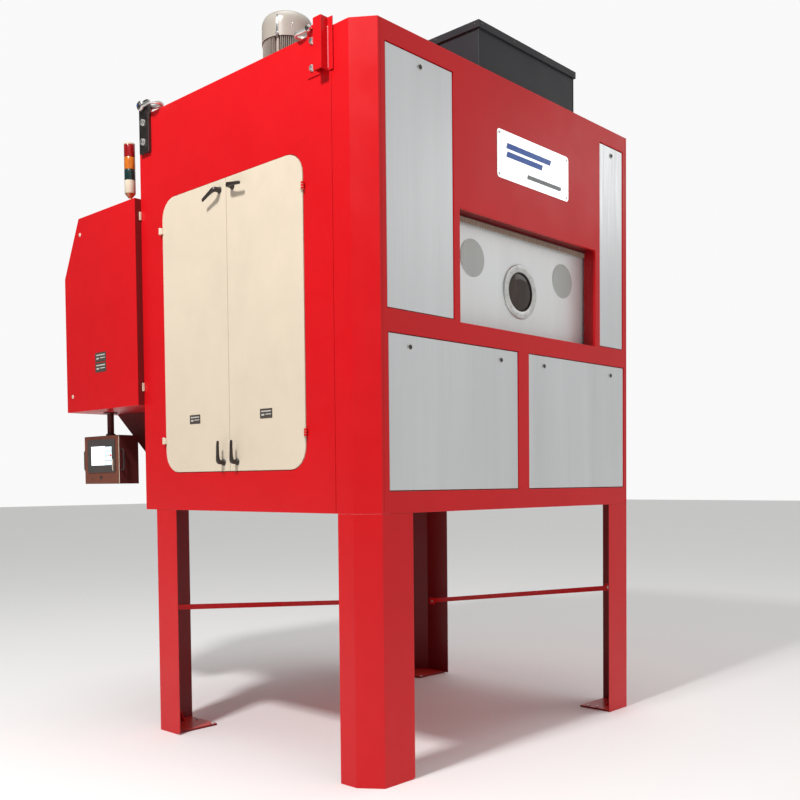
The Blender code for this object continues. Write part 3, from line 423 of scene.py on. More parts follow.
def weld(shape, start, end, radius):
    """A fillet bead with the ripples of each dab."""
    start, end = Vector(start), Vector(end)
    dabs = max(4, ceil((end - start).length / (radius * 0.9)))
    points = [start.lerp(end, i / dabs) for i in range(dabs + 1)]
    radii = [radius * (0.74 + 0.32 * (i % 2)) for i in range(dabs + 1)]
    tube(shape, points, radii, 6)


def piece(name, shape, look, body="cabinet", bevel=0.0, stands_for=(), segments=2):
    """Finish a shape as a piece: material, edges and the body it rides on."""
    bmesh.ops.remove_doubles(shape, verts=shape.verts, dist=0.000002)
    bmesh.ops.recalc_face_normals(shape, faces=shape.faces)
    mesh = bpy.data.meshes.new(name)
    shape.to_mesh(mesh)
    shape.free()
    mesh.materials.append(M[look])
    mesh.shade_smooth()
    mesh.set_sharp_from_angle(angle=SHARP)
    item = bpy.data.objects.new(name, mesh)
    bpy.context.scene.collection.objects.link(item)
    if bevel:
        round_edges(item, bevel, segments)
    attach(item, body)
    if stands_for:
        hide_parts(*stands_for)
    return item


def round_edges(item, width, segments=2):
    edges = item.modifiers.new("rounded_edges", "BEVEL")
    edges.width = width
    edges.segments = segments
    edges.limit_method = "ANGLE"
    edges.angle_limit = SHARP
    edges.harden_normals = True


def carve(item, tool_shape):
    """Cut a shape out of a piece that has no modifiers yet."""
    bmesh.ops.recalc_face_normals(tool_shape, faces=tool_shape.faces)
    tool = bpy.data.objects.new("tool", bpy.data.meshes.new("tool"))
    tool_shape.to_mesh(tool.data)
    tool_shape.free()
    bpy.context.scene.collection.objects.link(tool)
    cut = item.modifiers.new("cut", "BOOLEAN")
    cut.solver = "EXACT"
    cut.object = tool
    bpy.context.view_layer.update()
    item.data = bpy.data.meshes.new_from_object(item.evaluated_get(bpy.context.evaluated_depsgraph_get()))
    item.modifiers.remove(cut)
    item.data.shade_smooth()
    item.data.set_sharp_from_angle(angle=SHARP)
    bpy.data.objects.remove(tool, do_unlink=True)


# ---- carried-over frame nodes
EDGE_GROUPS = {0.0008: "porthole_ring", 0.0010: "lint_filter", 0.0014: "loading_chute console_screen",
               0.0012: "exhaust_duct discharge_frame discharge_door tie_bar drum", 0.0030: "console_box",
               0.0015: "corner_post heater_battery floor_pan", 0.0016: "loading_hood", 0.0018: "leg_",
               0.0020: "left_wall right_wall rear_wall drive_motor roof_panel",
               0.0022: "front_fascia front_panel", 0.0026: "service_door"}
EDGE_WIDTHS = {start: width for width, starts in EDGE_GROUPS.items() for start in starts.split()}


def dress_node(name):
    """Give a carried-over node its detailed material, smooth round faces and rounded edges."""
    item = NODES[name]
    item.data.materials.clear()
    item.data.materials.append(M[NODE_LOOKS.get(name, SLOT_OF[name])])
    custom = item.data.attributes.get("custom_normal")
    if custom:
        item.data.attributes.remove(custom)
    item.data.shade_smooth()
    weld_step = item.modifiers.new("weld", "WELD")
    weld_step.merge_threshold = 0.00002
    for start, width in EDGE_WIDTHS.items():
        if name.startswith(start):
            round_edges(item, width)
            flat = item.modifiers.new("flat_faces", "WEIGHTED_NORMAL")
            flat.weight = 100
            return
    split = item.modifiers.new("sharp_edges", "EDGE_SPLIT")
    split.split_angle = SHARP


for node_name in NODES:
    dress_node(node_name)


# ---- places taken from the frame
def span(node):
    """A node's corners, measured like everything below from the cabinet's centre line on the floor."""
    low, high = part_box(node)
    return low - MIDDLE, high - MIDDLE


def middle_of(node):
    low, high = span(node)
    return (low + high) / 2


def pivot(joint):
    return Vector(JOINTS[joint]["pos_m"]) - MIDDLE


HALF_X = (RIGHT - LEFT) / 2
HALF_Y = (BACK - FRONT) / 2
OUT_LEFT = Vector((-1, 0, 0))
OUT_FRONT = Vector((0, -1, 0))
UP = Vector((0, 0, 1))


def new():
    return bmesh.new()


def add(name, shape, look, body="cabinet", **rest):
    """A piece drawn in the cabinet's own coordinates."""
    bmesh.ops.translate(shape, vec=MIDDLE, verts=shape.verts)
    return piece(name, shape, look, body, **rest)


def made(name, look, draw, *details, body="cabinet", bevel=0.0, stands_for=(), **options):
    """A piece that a single call draws."""
    shape = new()
    draw(shape, *details, **options)
    return add(name, shape, look, body, bevel=bevel, stands_for=stands_for)


# ---- camera, light and floor
BRIGHT_SIDE = Vector((0.82, -0.55, 0.16)).normalized()
BRIGHT_LEVEL = 0.62
DIM_LEVEL = 0.10
BACKDROP_LEVEL = 0.95


def camera():
    yaw, pitch, roll = 0.8335347, -0.0357176, -0.0082981
    ahead = Vector((sin(yaw) * cos(pitch), cos(yaw) * cos(pitch), sin(pitch)))
    level = Vector((cos(yaw), -sin(yaw), 0))
    lift = level.cross(ahead)
    right = level * cos(roll) + lift * sin(roll)
    up = lift * cos(roll) - level * sin(roll)
    data = bpy.data.cameras.new("camera")
    data.lens = 43.355
    data.sensor_width = 36
    data.shift_x = -0.0354
    data.shift_y = 0.1455
    data.clip_end = 200
    item = bpy.data.objects.new("camera", data)
    eye = Vector((-4.29526, -4.14273, 1.45141))
    turn = Matrix((right, up, -ahead)).transposed().to_4x4()
    item.matrix_world = Matrix.Translation(MIDDLE + eye) @ turn
    bpy.context.scene.collection.objects.link(item)
    bpy.context.scene.camera = item


def area_light(name, place, target, size, power, colour=(1, 1, 1)):
    data = bpy.data.lights.new(name, "AREA")
    data.shape = "RECTANGLE"
    data.size, data.size_y = size
    data.energy = power
    data.color = colour
    item = bpy.data.objects.new(name, data)
    item.matrix_world = (Matrix.Translation(MIDDLE + Vector(place))
                         @ (Vector(target) - Vector(place)).to_track_quat("-Z", "Y").to_matrix().to_4x4())
    bpy.context.scene.collection.objects.link(item)


def studio():
    bpy.context.scene.view_settings.view_transform = "Standard"
    world = bpy.data.worlds.new("studio")
    world.use_nodes = True
    tree = world.node_tree
    view = add_node(tree, "TexCoord")["Generated"]
    turn = add_node(tree, "VectorMath", {0: view, 1: BRIGHT_SIDE}, operation="DOT_PRODUCT")["Value"]
    light = add_node(tree, "MapRange", {"From Min": -1.0, "To Min": DIM_LEVEL, "To Max": BRIGHT_LEVEL,
                                        "Value": turn}, interpolation_type="SMOOTHSTEP")["Result"]
    seen = add_node(tree, "LightPath")["Is Camera Ray"]
    level = add_node(tree, "Mix", {"A": light, "B": BACKDROP_LEVEL, "Factor": seen})["Result"]
    tree.nodes["Background"].inputs["Color"].default_value = (1, 1, 1, 1)
    tree.links.new(level, tree.nodes["Background"].inputs["Strength"])
    bpy.context.scene.world = world
    area_light("key", (-5.5, -1.0, 7.7), (-1.2, 0.2, 2.3), (0.8, 0.8), 530)
    area_light("front_sheen", (6.7, -5.0, 5.6), (0.6, -0.9, 3.2), (2.4, 1.5), 15)
    overhead = bpy.data.lights.new("overhead", "SUN")
    overhead.energy = 0.7
    overhead.angle = radians(40)
    bpy.context.scene.collection.objects.link(bpy.data.objects.new("overhead", overhead))
    shape = new()
    size = 60.0
    corners = ((-size, -size), (size, -size), (size, size), (-size, size))
    shape.faces.new([shape.verts.new((x, y, 0)) for x, y in corners])
    mesh = bpy.data.meshes.new("floor")
    shape.to_mesh(mesh)
    shape.free()
    floor = bpy.data.objects.new("floor", mesh)
    bpy.context.scene.collection.objects.link(floor)
    look = Look("pale_floor", (0.91, 0.91, 0.90), 0.7)
    look.tint(look.ranged(look.noise(0.5), 0.0, 0.2), (0.87, 0.87, 0.86))
    mesh.materials.append(look.material)


# ---- front: plate, panels, locks and recess
def name_plate():
    """A polished plate on four screws, with a generic emblem of plain bars."""
    low, high = span("name_plate")
    front = low.y + 0.002
    made("name_plate_sheet", "polished_steel", prism, rounded((low.x, low.z), (high.x, high.z), 0.022, 8),
         front, high.y, "Y", bevel=0.0012, stands_for=["name_plate"])
    screws = new()
    for x in (low.x + 0.020, high.x - 0.020):
        for z in (low.z + 0.020, high.z - 0.020):
            dome_screw(screws, (x, front, z), OUT_FRONT, 0.0075, 0.0020)
    add("name_plate_screws", screws, "zinc")
    wide = high.x - low.x
    bars = new()
    for i, length in enumerate((0.62, 0.50)):
        z = high.z - 0.060 - i * 0.045
        x = low.x + wide * 0.12
        lean = 0.010
        prism(bars, [(x, z - 0.030), (x + wide * length - lean, z - 0.030), (x + wide * length, z),
                     (x + lean, z)], front - 0.0012, front, "Y")
    add("name_plate_bars", bars, "enamel_blue")
    x = low.x + wide * 0.40
    made("name_plate_line", "enamel_grey", prism, [(x, low.z + 0.045), (x + wide * 0.48, low.z + 0.045),
         (x + wide * 0.49, low.z + 0.068), (x + 0.006, low.z + 0.068)], front - 0.0012, front, "Y")


def panel_gaskets():
    """A thin rubber frame in the gap round each stainless front panel."""
    strips = new()
    for name in NODES:
        if not name.startswith("front_panel"):
            continue
        low, high = span(name)
        near, far, wide = low.y + 0.006, high.y + 0.001, 0.0036
        for x in (low.x - wide, high.x + 0.0004):
            block(strips, (x, near, low.z - wide), (x + wide - 0.0004, far, high.z + wide))
        for z in (low.z - wide, high.z + 0.0004):
            block(strips, (low.x, near, z), (high.x, far, z + wide - 0.0004))
    add("panel_gaskets", strips, "rubber")


def panel_lock(node, body):
    """A quarter-turn lock: a bezel fixed in the panel and a slotted core that turns."""
    x, _, z = pivot(body + "_turn")
    face = span("front_panel_lower_left")[0].y
    bezel = new()
    turned(bezel, [(0.0115, 0.0002), (0.0165, 0.0002), (0.0165, 0.0020), (0.0150, 0.0036), (0.0115, 0.0036)],
           (x, face, z), OUT_FRONT, 32, loop=True)
    add(node + "_bezel", bezel, "zinc")
    core = new()
    turned(core, [(0, -0.034), (0.0072, -0.034), (0.0072, 0.0), (0.0110, 0.0002), (0.0110, 0.0052),
                  (0.0098, 0.0066), (0, 0.0068)], (x, face, z), OUT_FRONT, 32)
    block(core, (x - 0.006, face + 0.028, z - 0.008), (x + 0.006, face + 0.032, z + 0.028))
    item = add(node + "_core", core, "dark_steel", body, stands_for=[node])
    slot = new()
    block(slot, MIDDLE + Vector((x - 0.0013, face - 0.010, z - 0.009)),
          MIDDLE + Vector((x + 0.0013, face - 0.0042, z + 0.009)))
    carve(item, slot)


def recess_detail():
    """The wiper brush, and the discs, ring, sight glass and studs of the sliding door."""
    low, high = span("wiper_seal")
    root = high.z - 0.007
    # The holder is drawn dark red as painted shade under the fascia.
    made("wiper_holder", "holder_shade", prism, [(low.y, root), (high.y, root), (high.y, high.z),
         (low.y, high.z)], low.x, high.x, "X", bevel=0.0008, stands_for=["wiper_seal"])
    brush = new()
    rng = Random(4)
    count = 420
    step = (high.x - low.x - 0.006) / count
    for i in range(count):
        x = low.x + 0.003 + step * i
        drop = low.z + rng.uniform(0.0, 0.003)
        y = low.y + 0.0015 + rng.uniform(0.0, 0.003)
        block(brush, (x, y, drop), (x + step * 0.72, y + 0.002, root + 0.001))
    add("wiper_bristles", brush, "bristle")
    face = span("discharge_door")[0].y
    middle = middle_of("porthole_ring")
    discs = new()
    screws = new()
    for side in (-1, 1):
        disc_x = middle.x + side * 0.419
        disc_z = middle.z + 0.122
        turned(discs, [(0.0, 0.0002), (0.0995, 0.0002), (0.0995, 0.0018), (0.0988, 0.0026), (0, 0.0026)],
               (disc_x, face, disc_z), OUT_FRONT, 64)
        for k in range(6):
            a = radians(30 + 60 * k)
            dome_screw(screws, (disc_x + 0.088 * cos(a), face - 0.0026, disc_z + 0.088 * sin(a)),
                       OUT_FRONT, 0.0045, 0.0022)
    add("blanking_discs", discs, "disc_sheet", "sliding_door")
    ring_low, ring_high = span("porthole_ring")
    for k in range(12):
        a = radians(15 + 30 * k)
        dome_screw(screws, (middle.x + 0.130 * cos(a), ring_low.y, middle.z + 0.130 * sin(a)),
                   OUT_FRONT, 0.0062, 0.0030)
    add("sliding_door_screws", screws, "zinc", "sliding_door")
    made("porthole_gasket", "rubber", turned, [(0.1045, 0.0), (0.1085, 0.0), (0.1085, 0.0062),
         (0.1045, 0.005)], (middle.x, face, middle.z), OUT_FRONT, 64, loop=True, body="sliding_door")
    outer, sight = (ring_high.x - ring_low.x) / 2, 0.108
    made("porthole_flange", "zinc", turned, [(sight, 0.0003), (outer, 0.0003), (outer, 0.005),
         (outer - 0.003, 0.0078), (outer - 0.01, 0.0083), (sight + 0.008, 0.0083), (sight + 0.002, 0.0065)],
         (middle.x, face, middle.z), OUT_FRONT, 96, loop=True, body="sliding_door",
         stands_for=["porthole_ring"])
    glass_low, glass_high = span("porthole_glass")
    radius = (glass_high.x - glass_low.x) / 2
    front = face - glass_low.y
    profile = [(0, -0.017), (radius, -0.017), (radius, front), (sight, front)]
    profile += [(sight * cos(radians(9 * i)), front + 0.0075 * sin(radians(9 * i))) for i in range(1, 10)]
    profile += [(0, front + 0.0075)]
    made("sight_glass", "smoked_glass", turned, profile, (middle.x, face, middle.z), OUT_FRONT, 72,
         body="sliding_door", stands_for=["porthole_glass"])


# ---- left side: doors, latches, labels
def lever_ring(centre, side, across, half_wide, half_thick, count=20):
    """A rounded-rectangle ring."""
    points = []
    for i in range(count):
        a = 2 * pi * i / count
        c, s = cos(a), sin(a)
        grow = (abs(c) ** 3.2 + abs(s) ** 3.2) ** (-1 / 3.2)
        points.append(centre + side * c * grow * half_wide + across * s * grow * half_thick)
    return points


def latch_lever(node, body):
    """A cast lever: collar, short stem, elbow and a tapering arm with a blunt tip."""
    start = pivot(body + "_turn")
    start.x = -HALF_X - 0.0033
    tip = max((vert.co - MIDDLE - start for vert in NODES[node].data.vertices), key=lambda v: hypot(v.y, v.z))
    along = Vector((0, tip.y, tip.z)).normalized()
    side = OUT_LEFT.cross(along)
    path = [(0.004, 0.000, 0, 0.0125, 0.0125), (0.022, 0.000, 0, 0.0118, 0.0118),
            (0.0285, 0.001, 20, 0.0122, 0.0118), (0.0335, 0.0045, 45, 0.0124, 0.0112),
            (0.0365, 0.0105, 68, 0.0122, 0.0100), (0.0380, 0.020, 84, 0.0114, 0.0082),
            (0.0388, 0.035, 89, 0.0102, 0.0070), (0.0390, 0.060, 90, 0.0092, 0.0060),
            (0.0388, 0.085, 91, 0.0087, 0.0055), (0.0380, 0.104, 94, 0.0084, 0.0052),
            (0.0372, 0.1125, 97, 0.0074, 0.0042), (0.0369, 0.1145, 98, 0.0050, 0.0026)]
    rings = []
    for out, run, lean, half_wide, half_thick in path:
        place = start + OUT_LEFT * out + along * run
        across = OUT_LEFT * -sin(radians(lean)) + along * cos(radians(lean))
        rings.append(lever_ring(place, side, across, half_wide, half_thick))
    shape = new()
    skin(shape, rings)
    turned(shape, [(0, -0.036), (0.0085, -0.036), (0.0085, 0.0), (0.019, 0.0), (0.019, 0.002),
                   (0.0165, 0.005), (0.0135, 0.010), (0, 0.010)], start, OUT_LEFT, 32)
    block(shape, start + Vector((0.029, 0, 0)) + Vector((0, -0.007, -0.010)),
          start + Vector((0.034, 0.007, 0.036)))
    dome_screw(shape, start + OUT_LEFT * 0.0372 + along * 0.004, OUT_LEFT + along * -0.35, 0.0065, 0.0025)
    add(node + "_lever", shape, "black_plastic", body, stands_for=[node])


def service_door_detail(node, body):
    """Hinge sleeves with their pins, an edge seal and inner stiffeners."""
    low, high = span(node)
    hinge = pivot(body + "_hinge")
    inner = -HALF_X + 0.019
    free_high = hinge.y < 0
    inset = 0.012
    y0, y1 = (low.y + 0.020, high.y - inset) if free_high else (low.y + inset, high.y - 0.020)
    outline = rounded((y0, low.z + inset), (y1, high.z - inset), 0.09, 8)
    ring = [Vector((inner + 0.003, y, z)) for y, z in outline]
    made(node + "_seal", "rubber", tube, ring, 0.0042, 8, loop=True, body=body)
    ribs = new()
    for z in (2.05, 2.55):
        prism(ribs, [(inner - 0.0004, z - 0.040), (inner + 0.016, z - 0.026), (inner + 0.016, z + 0.026),
                     (inner - 0.0004, z + 0.040)], y0 + 0.05, y1 - 0.05, "Y")
    add(node + "_stiffeners", ribs, "cream_paint", body, bevel=0.003)
    sleeves = new()
    for z in (1.700, 2.897):
        for part in (-1, 0, 1):
            turned(sleeves, [(0.0030, -0.0056), (0.0078, -0.0056), (0.0085, -0.0046), (0.0085, 0.0046),
                             (0.0078, 0.0056), (0.0030, 0.0056)],
                   (hinge.x, hinge.y, z + part * 0.0122), UP, 20, loop=True)
        turned(sleeves, [(0, -0.0200), (0.0050, -0.0200), (0.0056, -0.0186), (0.0036, -0.0180),
                         (0.0036, 0.0180), (0.0056, 0.0186), (0.0050, 0.0200), (0, 0.0200)],
               (hinge.x, hinge.y, z), UP, 16)
    add(node + "_hinge_sleeves", sleeves, "red_paint" if free_high else "cream_paint", body)


def small_label(name, y, z, x, wide, tall, body, back="label_dark", front="label_light"):
    """A thin generic label: a dark plate with two plain pale blocks."""
    made(name + "_plate", back, prism, rounded((y - wide / 2, z - tall / 2), (y + wide / 2, z + tall / 2),
         0.003, 3), x - 0.001, x - 0.0001, "X", body=body)
    marks = new()
    for k, (start, end, rise) in enumerate(((-0.40, 0.40, 0.22), (-0.40, 0.05, -0.08), (0.15, 0.38, -0.16))):
        block(marks, (x - 0.0013, y + start * wide, z + (rise - 0.05) * tall),
              (x - 0.0009, y + end * wide, z + (rise + (0.07, 0.04, 0.12)[k]) * tall))
    add(name + "_blocks", marks, front, body)


def doorway_trim():
    """The folded lip of the doorway behind the two leaves."""
    low = span("service_door_front")[0]
    high = span("service_door_rear")[1]
    bottom, top = low.z - 0.003, high.z + 0.003
    edge_low, edge_high = -0.508, 0.724
    outer = rounded((edge_low, bottom), (edge_high, top), 0.120, 10)
    inner = rounded((edge_low + 0.030, bottom + 0.030), (edge_high - 0.030, top - 0.030), 0.092, 10)
    near, far = -HALF_X + 0.0203, -HALF_X + 0.0225
    made("doorway_lip", "red_paint", skin, rim(outer, inner, near, far, "X"), loop=True, bevel=0.0006)


# ---- lifting points
def eye_hole(item, joint, radius, reach):
    """Bore the hole a shackle's pin goes through."""
    hole = new()
    profile = [(0, -reach), (radius, -reach), (radius, reach), (0, reach)]
    turned(hole, profile, MIDDLE + pivot(joint), OUT_LEFT, 32)
    carve(item, hole)


def lifting_bar():
    """The thick flat bar at the rear corner, with its eye and two bright bolts."""
    low, high = span("lifting_plate")
    outer, inner = -HALF_X - 0.0203, -HALF_X - 0.0003
    corner = 0.014
    cut = 0.004
    outline = [(low.y, low.z + cut), (low.y + cut, low.z), (high.y - cut, low.z), (high.y, low.z + cut)]
    outline += arc((high.y - corner, high.z - corner), corner, 0, 90, 4)
    outline += arc((low.y + corner, high.z - corner), corner, 90, 180, 4)
    bar = made("lifting_bar", "dark_steel", prism, outline, outer, inner, "X", stands_for=["lifting_plate"])
    eye_hole(bar, "rear_shackle_swing", 0.0115, 0.05)
    round_edges(bar, 0.0018)
    bolts = new()
    for z in (3.436, 3.547):
        hex_bolt(bolts, (outer, 0.878, z), OUT_LEFT, 0.0180, turn=0.3)
    add("lifting_bar_bolts", bolts, "bright_zinc")


def lifting_hat():
    """The folded hat bracket with two bright bolts and the rough weld down its free flange."""
    low, high = span("lifting_bracket")
    sheet = 0.006
    base = -HALF_X - 0.0003
    stand = base - 0.045
    rear, fold, crest, end = high.y, -0.656, -0.701, low.y
    outside = [(base - sheet, rear), (base - sheet, fold + sheet), (stand - sheet, fold + sheet),
               (stand - sheet, crest - sheet), (base - sheet, crest - sheet), (base - sheet, end)]
    inside = [(base, end), (base, crest), (stand, crest), (stand, fold), (base, fold), (base, rear)]
    hat = made("lifting_hat", "red_paint", prism, outside + inside, low.z, high.z, "Z",
               stands_for=["lifting_bracket"])
    eye_hole(hat, "front_shackle_swing", 0.0090, 0.015)
    round_edges(hat, 0.0020)
    bolts = new()
    for z in (3.436, 3.564):
        hex_bolt(bolts, (base - sheet, -0.594, z), OUT_LEFT, 0.0150, turn=0.5)
    add("lifting_hat_bolts", bolts, "bright_zinc")
    seam = Vector((base - sheet, crest - sheet, 0))
    # the bead's pink is partly a painted highlight
    made("lifting_hat_weld", "weld_paint", weld, seam + UP * (low.z + 0.008), seam + UP * 3.598, 0.0046)


SHACKLES = {"shackle_rear": {"rod": 0.0108, "ear": 0.0285, "apart": 0.026, "bow": 0.0375, "leg": 0.066,
                             "crown": 0.110, "pin": 0.0095, "half": 0.0468, "dab": "enamel_blue"},
            "shackle_front": {"rod": 0.0078, "ear": 0.0167, "apart": 0.018, "bow": 0.027, "leg": 0.045,
                              "crown": 0.073, "pin": 0.0070, "half": 0.0328, "dab": "dark_steel"}}


def bow_shackle(node, body):
    """A forged bow shackle: bow, ears and a collared pin with a dab of colour on its end."""
    size = SHACKLES[node]
    rod, ear, apart, bow, crown = (size[key] for key in ("rod", "ear", "apart", "bow", "crown"))
    pin = pivot(body + "_swing")
    tip = max((vert.co - MIDDLE - pin for vert in NODES[node].data.vertices), key=lambda v: abs(v.y))
    along = Vector((0, tip.y, tip.z)).normalized()
    across = Vector((1, 0, 0))
    path = [(-apart, ear * 0.3), (-apart, size["leg"] * 0.6), (-apart - (bow - apart) * 0.35, size["leg"])]
    path += arc((0, crown), bow, 195, -15, 20)
    path += [(-u, v) for u, v in path[2::-1]]
    radii = [rod * (1.15 - 0.15 * sin(pi * i / (len(path) - 1))) for i in range(len(path))]
    shape = new()
    tube(shape, [pin + across * u + along * v for u, v in path], radii, 16)
    half = rod
    for side in (-1, 1):
        turned(shape, [(size["pin"] + 0.0003, -half), (ear * 0.86, -half), (ear * 0.97, -half * 0.62),
                       (ear, 0), (ear * 0.97, half * 0.62), (ear * 0.86, half), (size["pin"] + 0.0003, half)],
               pin + across * side * apart, across, 40, loop=True)
    add(node + "_bow", shape, "bright_zinc", body, stands_for=[node])
    end, radius = size["half"], size["pin"]
    collar = apart + half + 0.0006
    made(node + "_pin", "dark_steel", turned, [(0, -end), (radius * 1.1, -end),
         (radius * 1.45, -end + 0.002), (radius * 1.45, -collar), (radius, -collar), (radius, end - 0.003),
         (radius * 0.8, end), (0, end)], pin, across, 32, body=body)
    made(node + "_pin_dab", size["dab"], turned, [(0, -0.0002), (radius * 0.65, -0.0002),
         (radius * 0.6, 0.0001), (0, 0.0002)], pin - across * end, OUT_LEFT, 24, body=body)


# ---- roof: duct, fan motor and cowl
def duct_detail():
    low, high = span("exhaust_duct")
    flange = 0.012
    rivets = new()
    z = high.z - 0.019
    for x in spread(low.x + 0.030, high.x - 0.030, 4):
        for y, out in ((low.y, -1), (high.y, 1)):
            dome_screw(rivets, (x, y, z), (0, out, 0), 0.0065, 0.0035)
    for y in spread(low.y + 0.030, high.y - 0.030, 3):
        for x, out in ((low.x, -1), (high.x, 1)):
            dome_screw(rivets, (x, y, z), (out, 0, 0), 0.0065, 0.0035)
    add("duct_rivets", rivets, "dark_steel")
    skirt = new()
    x0, x1 = low.x + flange, high.x - flange
    y0, y1 = low.y + flange, high.y - flange
    foot = low.z
    lip = 0.028
    for a, b in (((x0 - lip, y1), (x1 + lip, y1 + lip)), ((x0 - lip, y0), (x0, y1)),
                 ((x1, y0), (x1 + lip, y1))):
        block(skirt, (a[0], a[1], foot), (b[0], b[1], foot + 0.003))
    add("duct_foot_angle", skirt, "black_steel", bevel=0.0010)
    seams = new()
    for x in (x0 - 0.0005, x1 + 0.0005):
        for y in (y0 - 0.0005, y1 + 0.0005):
            tube(seams, [(x, y, foot + 0.004), (x, y, high.z - 0.040)], 0.0024, 8)
    add("duct_corner_seams", seams, "black_steel")


def polar(centre, radius, angle, z):
    return Vector((centre.x + radius * cos(angle), centre.y + radius * sin(angle), z))


FIRST_LUG = radians(206.6)


def fan_motor():
    """The finned motor body: thin ribs, a flange at its foot, corner bolts and a terminal box."""
    axis = middle_of("fan_cover")
    axis.z = 0
    low, high = span("fan_motor")
    core, tip = 0.121, 0.1395
    body = new()
    turned(body, [(0, low.z + 0.0202), (core, low.z + 0.0202), (core, high.z - 0.006),
                  (core - 0.012, high.z - 0.001), (0, high.z - 0.001)], axis, UP, 96)
    ribs = 84
    lugs = [FIRST_LUG + k * pi / 2 for k in range(4)]
    for i in range(ribs):
        a = 2 * pi * i / ribs
        near = min(abs(sin((a - lug) / 2)) for lug in lugs)
        if near < 0.055 or abs(sin(a / 2)) < 0.20:
            continue
        side = Vector((-sin(a), cos(a), 0))
        root_side, tip_side = side * 0.0021, side * 0.0013
        rings = []
        for z, reach in ((low.z + 0.030, tip - 0.002), (low.z + 0.034, tip), (high.z - 0.001, tip)):
            near, far = polar(axis, core - 0.001, a, z), polar(axis, reach, a, z)
            rings.append([near - root_side, far - tip_side, far + tip_side, near + root_side])
        skin(body, rings)
    turned(body, [(0.110, low.z), (0.175, low.z), (0.175, low.z + 0.016), (0.172, low.z + 0.020),
                  (0.142, low.z + 0.020), (0.132, low.z + 0.030), (0.110, low.z + 0.030)], axis, UP, 96,
           loop=True)
    add("motor_body", body, "motor_enamel", stands_for=["fan_motor"])
    fittings = new()
    for lug in lugs:
        tube(fittings, [polar(axis, 0.1330, lug, low.z + 0.030), polar(axis, 0.1330, lug, high.z - 0.001)],
             0.0080, 16)
        hex_bolt(fittings, polar(axis, 0.158, lug + pi / 4, low.z + 0.020), UP, 0.011)
    add("motor_tie_bosses", fittings, "motor_enamel")
    box_shape = new()
    x0, x1 = axis.x + 0.112, axis.x + 0.186
    y0, y1 = axis.y - 0.055, axis.y + 0.055
    block(box_shape, (x0, y0, 3.690), (x1 - 0.010, y1, 3.800))
    block(box_shape, (x1 - 0.0096, y0 - 0.003, 3.687), (x1, y1 + 0.003, 3.803))
    add("terminal_box", box_shape, "motor_enamel", bevel=0.004)
    screws = new()
    for y in (y0 + 0.010, y1 - 0.010):
        for z in (3.699, 3.791):
            dome_screw(screws, (x1, y, z), -OUT_LEFT, 0.0045, 0.0025)
    add("terminal_box_screws", screws, "zinc")
    made("terminal_box_gland", "black_plastic", turned, [(0, 0), (0.016, 0), (0.016, 0.008), (0.0135, 0.01),
         (0.0135, 0.02), (0.01, 0.026), (0, 0.026)], (axis.x + 0.15, y0, 3.73), OUT_FRONT, 24)


def fan_cowl():
    """The domed cowl with its ring grille, pressed ribs and four fixing lugs."""
    axis = middle_of("fan_cover")
    axis.z = 0
    low, high = span("fan_cover")
    outer = (high.x - low.x) / 2
    sheet = 0.0025
    shoulder = high.z - 0.078
    steps = 9
    dome = [(outer - 0.050 + 0.050 * cos(radians(90 * i / steps)),
             shoulder + 0.066 * sin(radians(90 * i / steps))) for i in range(steps + 1)]
    outside = [(outer, low.z), (outer, shoulder - 0.02)] + dome + [(0.060, high.z - 0.005)]
    inside = [(radius - sheet, z - sheet * 0.8) for radius, z in outside][::-1]
    inside[-1] = (outer - sheet, low.z)
    shape = new()
    turned(shape, outside + inside, axis, UP, 96, loop=True)
    for radius in (0.052, 0.040, 0.028, 0.016):
        ring = [polar(axis, radius, 2 * pi * i / 40, high.z - 0.0035) for i in range(40)]
        tube(shape, ring, 0.0022, 8, loop=True)
    for k in range(4):
        a = radians(45) + k * pi / 2
        spoke = [polar(axis, 0.006, a, high.z - 0.0035), polar(axis, 0.062, a, high.z - 0.0050)]
        tube(shape, spoke, 0.0022, 8)
    turned(shape, [(0, high.z - 0.006), (0.010, high.z - 0.006), (0.010, high.z - 0.001), (0, high.z)], axis,
           UP, 24)
    add("fan_cowl", shape, "motor_enamel", stands_for=["fan_cover"])
    lugs = new()
    for k in range(4):
        a = FIRST_LUG + k * pi / 2
        side = Vector((-sin(a), cos(a), 0)) * 0.0065
        rings = []
        for z, reach in ((low.z - 0.008, 0.0050), (low.z, 0.0058), (shoulder - 0.030, 0.0048),
                         (shoulder + 0.010, 0.0030), (shoulder + 0.030, -0.004)):
            near, far = polar(axis, outer - 0.008, a, z), polar(axis, outer + reach, a, z)
            rings.append([near - side, far - side * 0.8, far + side * 0.8, near + side])
        skin(lugs, rings)
        out = Vector((cos(a), sin(a), 0))
        hex_bolt(lugs, polar(axis, outer + 0.0055, a, low.z + 0.012), out, 0.0085)
        b = FIRST_LUG + radians(33) + k * pi / 2
        skin_out = outer - 0.0005
        rib = [(skin_out, low.z + 0.004), (skin_out, shoulder - 0.01), (outer - 0.004, shoulder + 0.018)]
        tube(lugs, [polar(axis, radius, b, z) for radius, z in rib], [0.0016, 0.0016, 0.0008], 8)
    add("cowl_lugs", lugs, "polished_steel", bevel=0.0008)


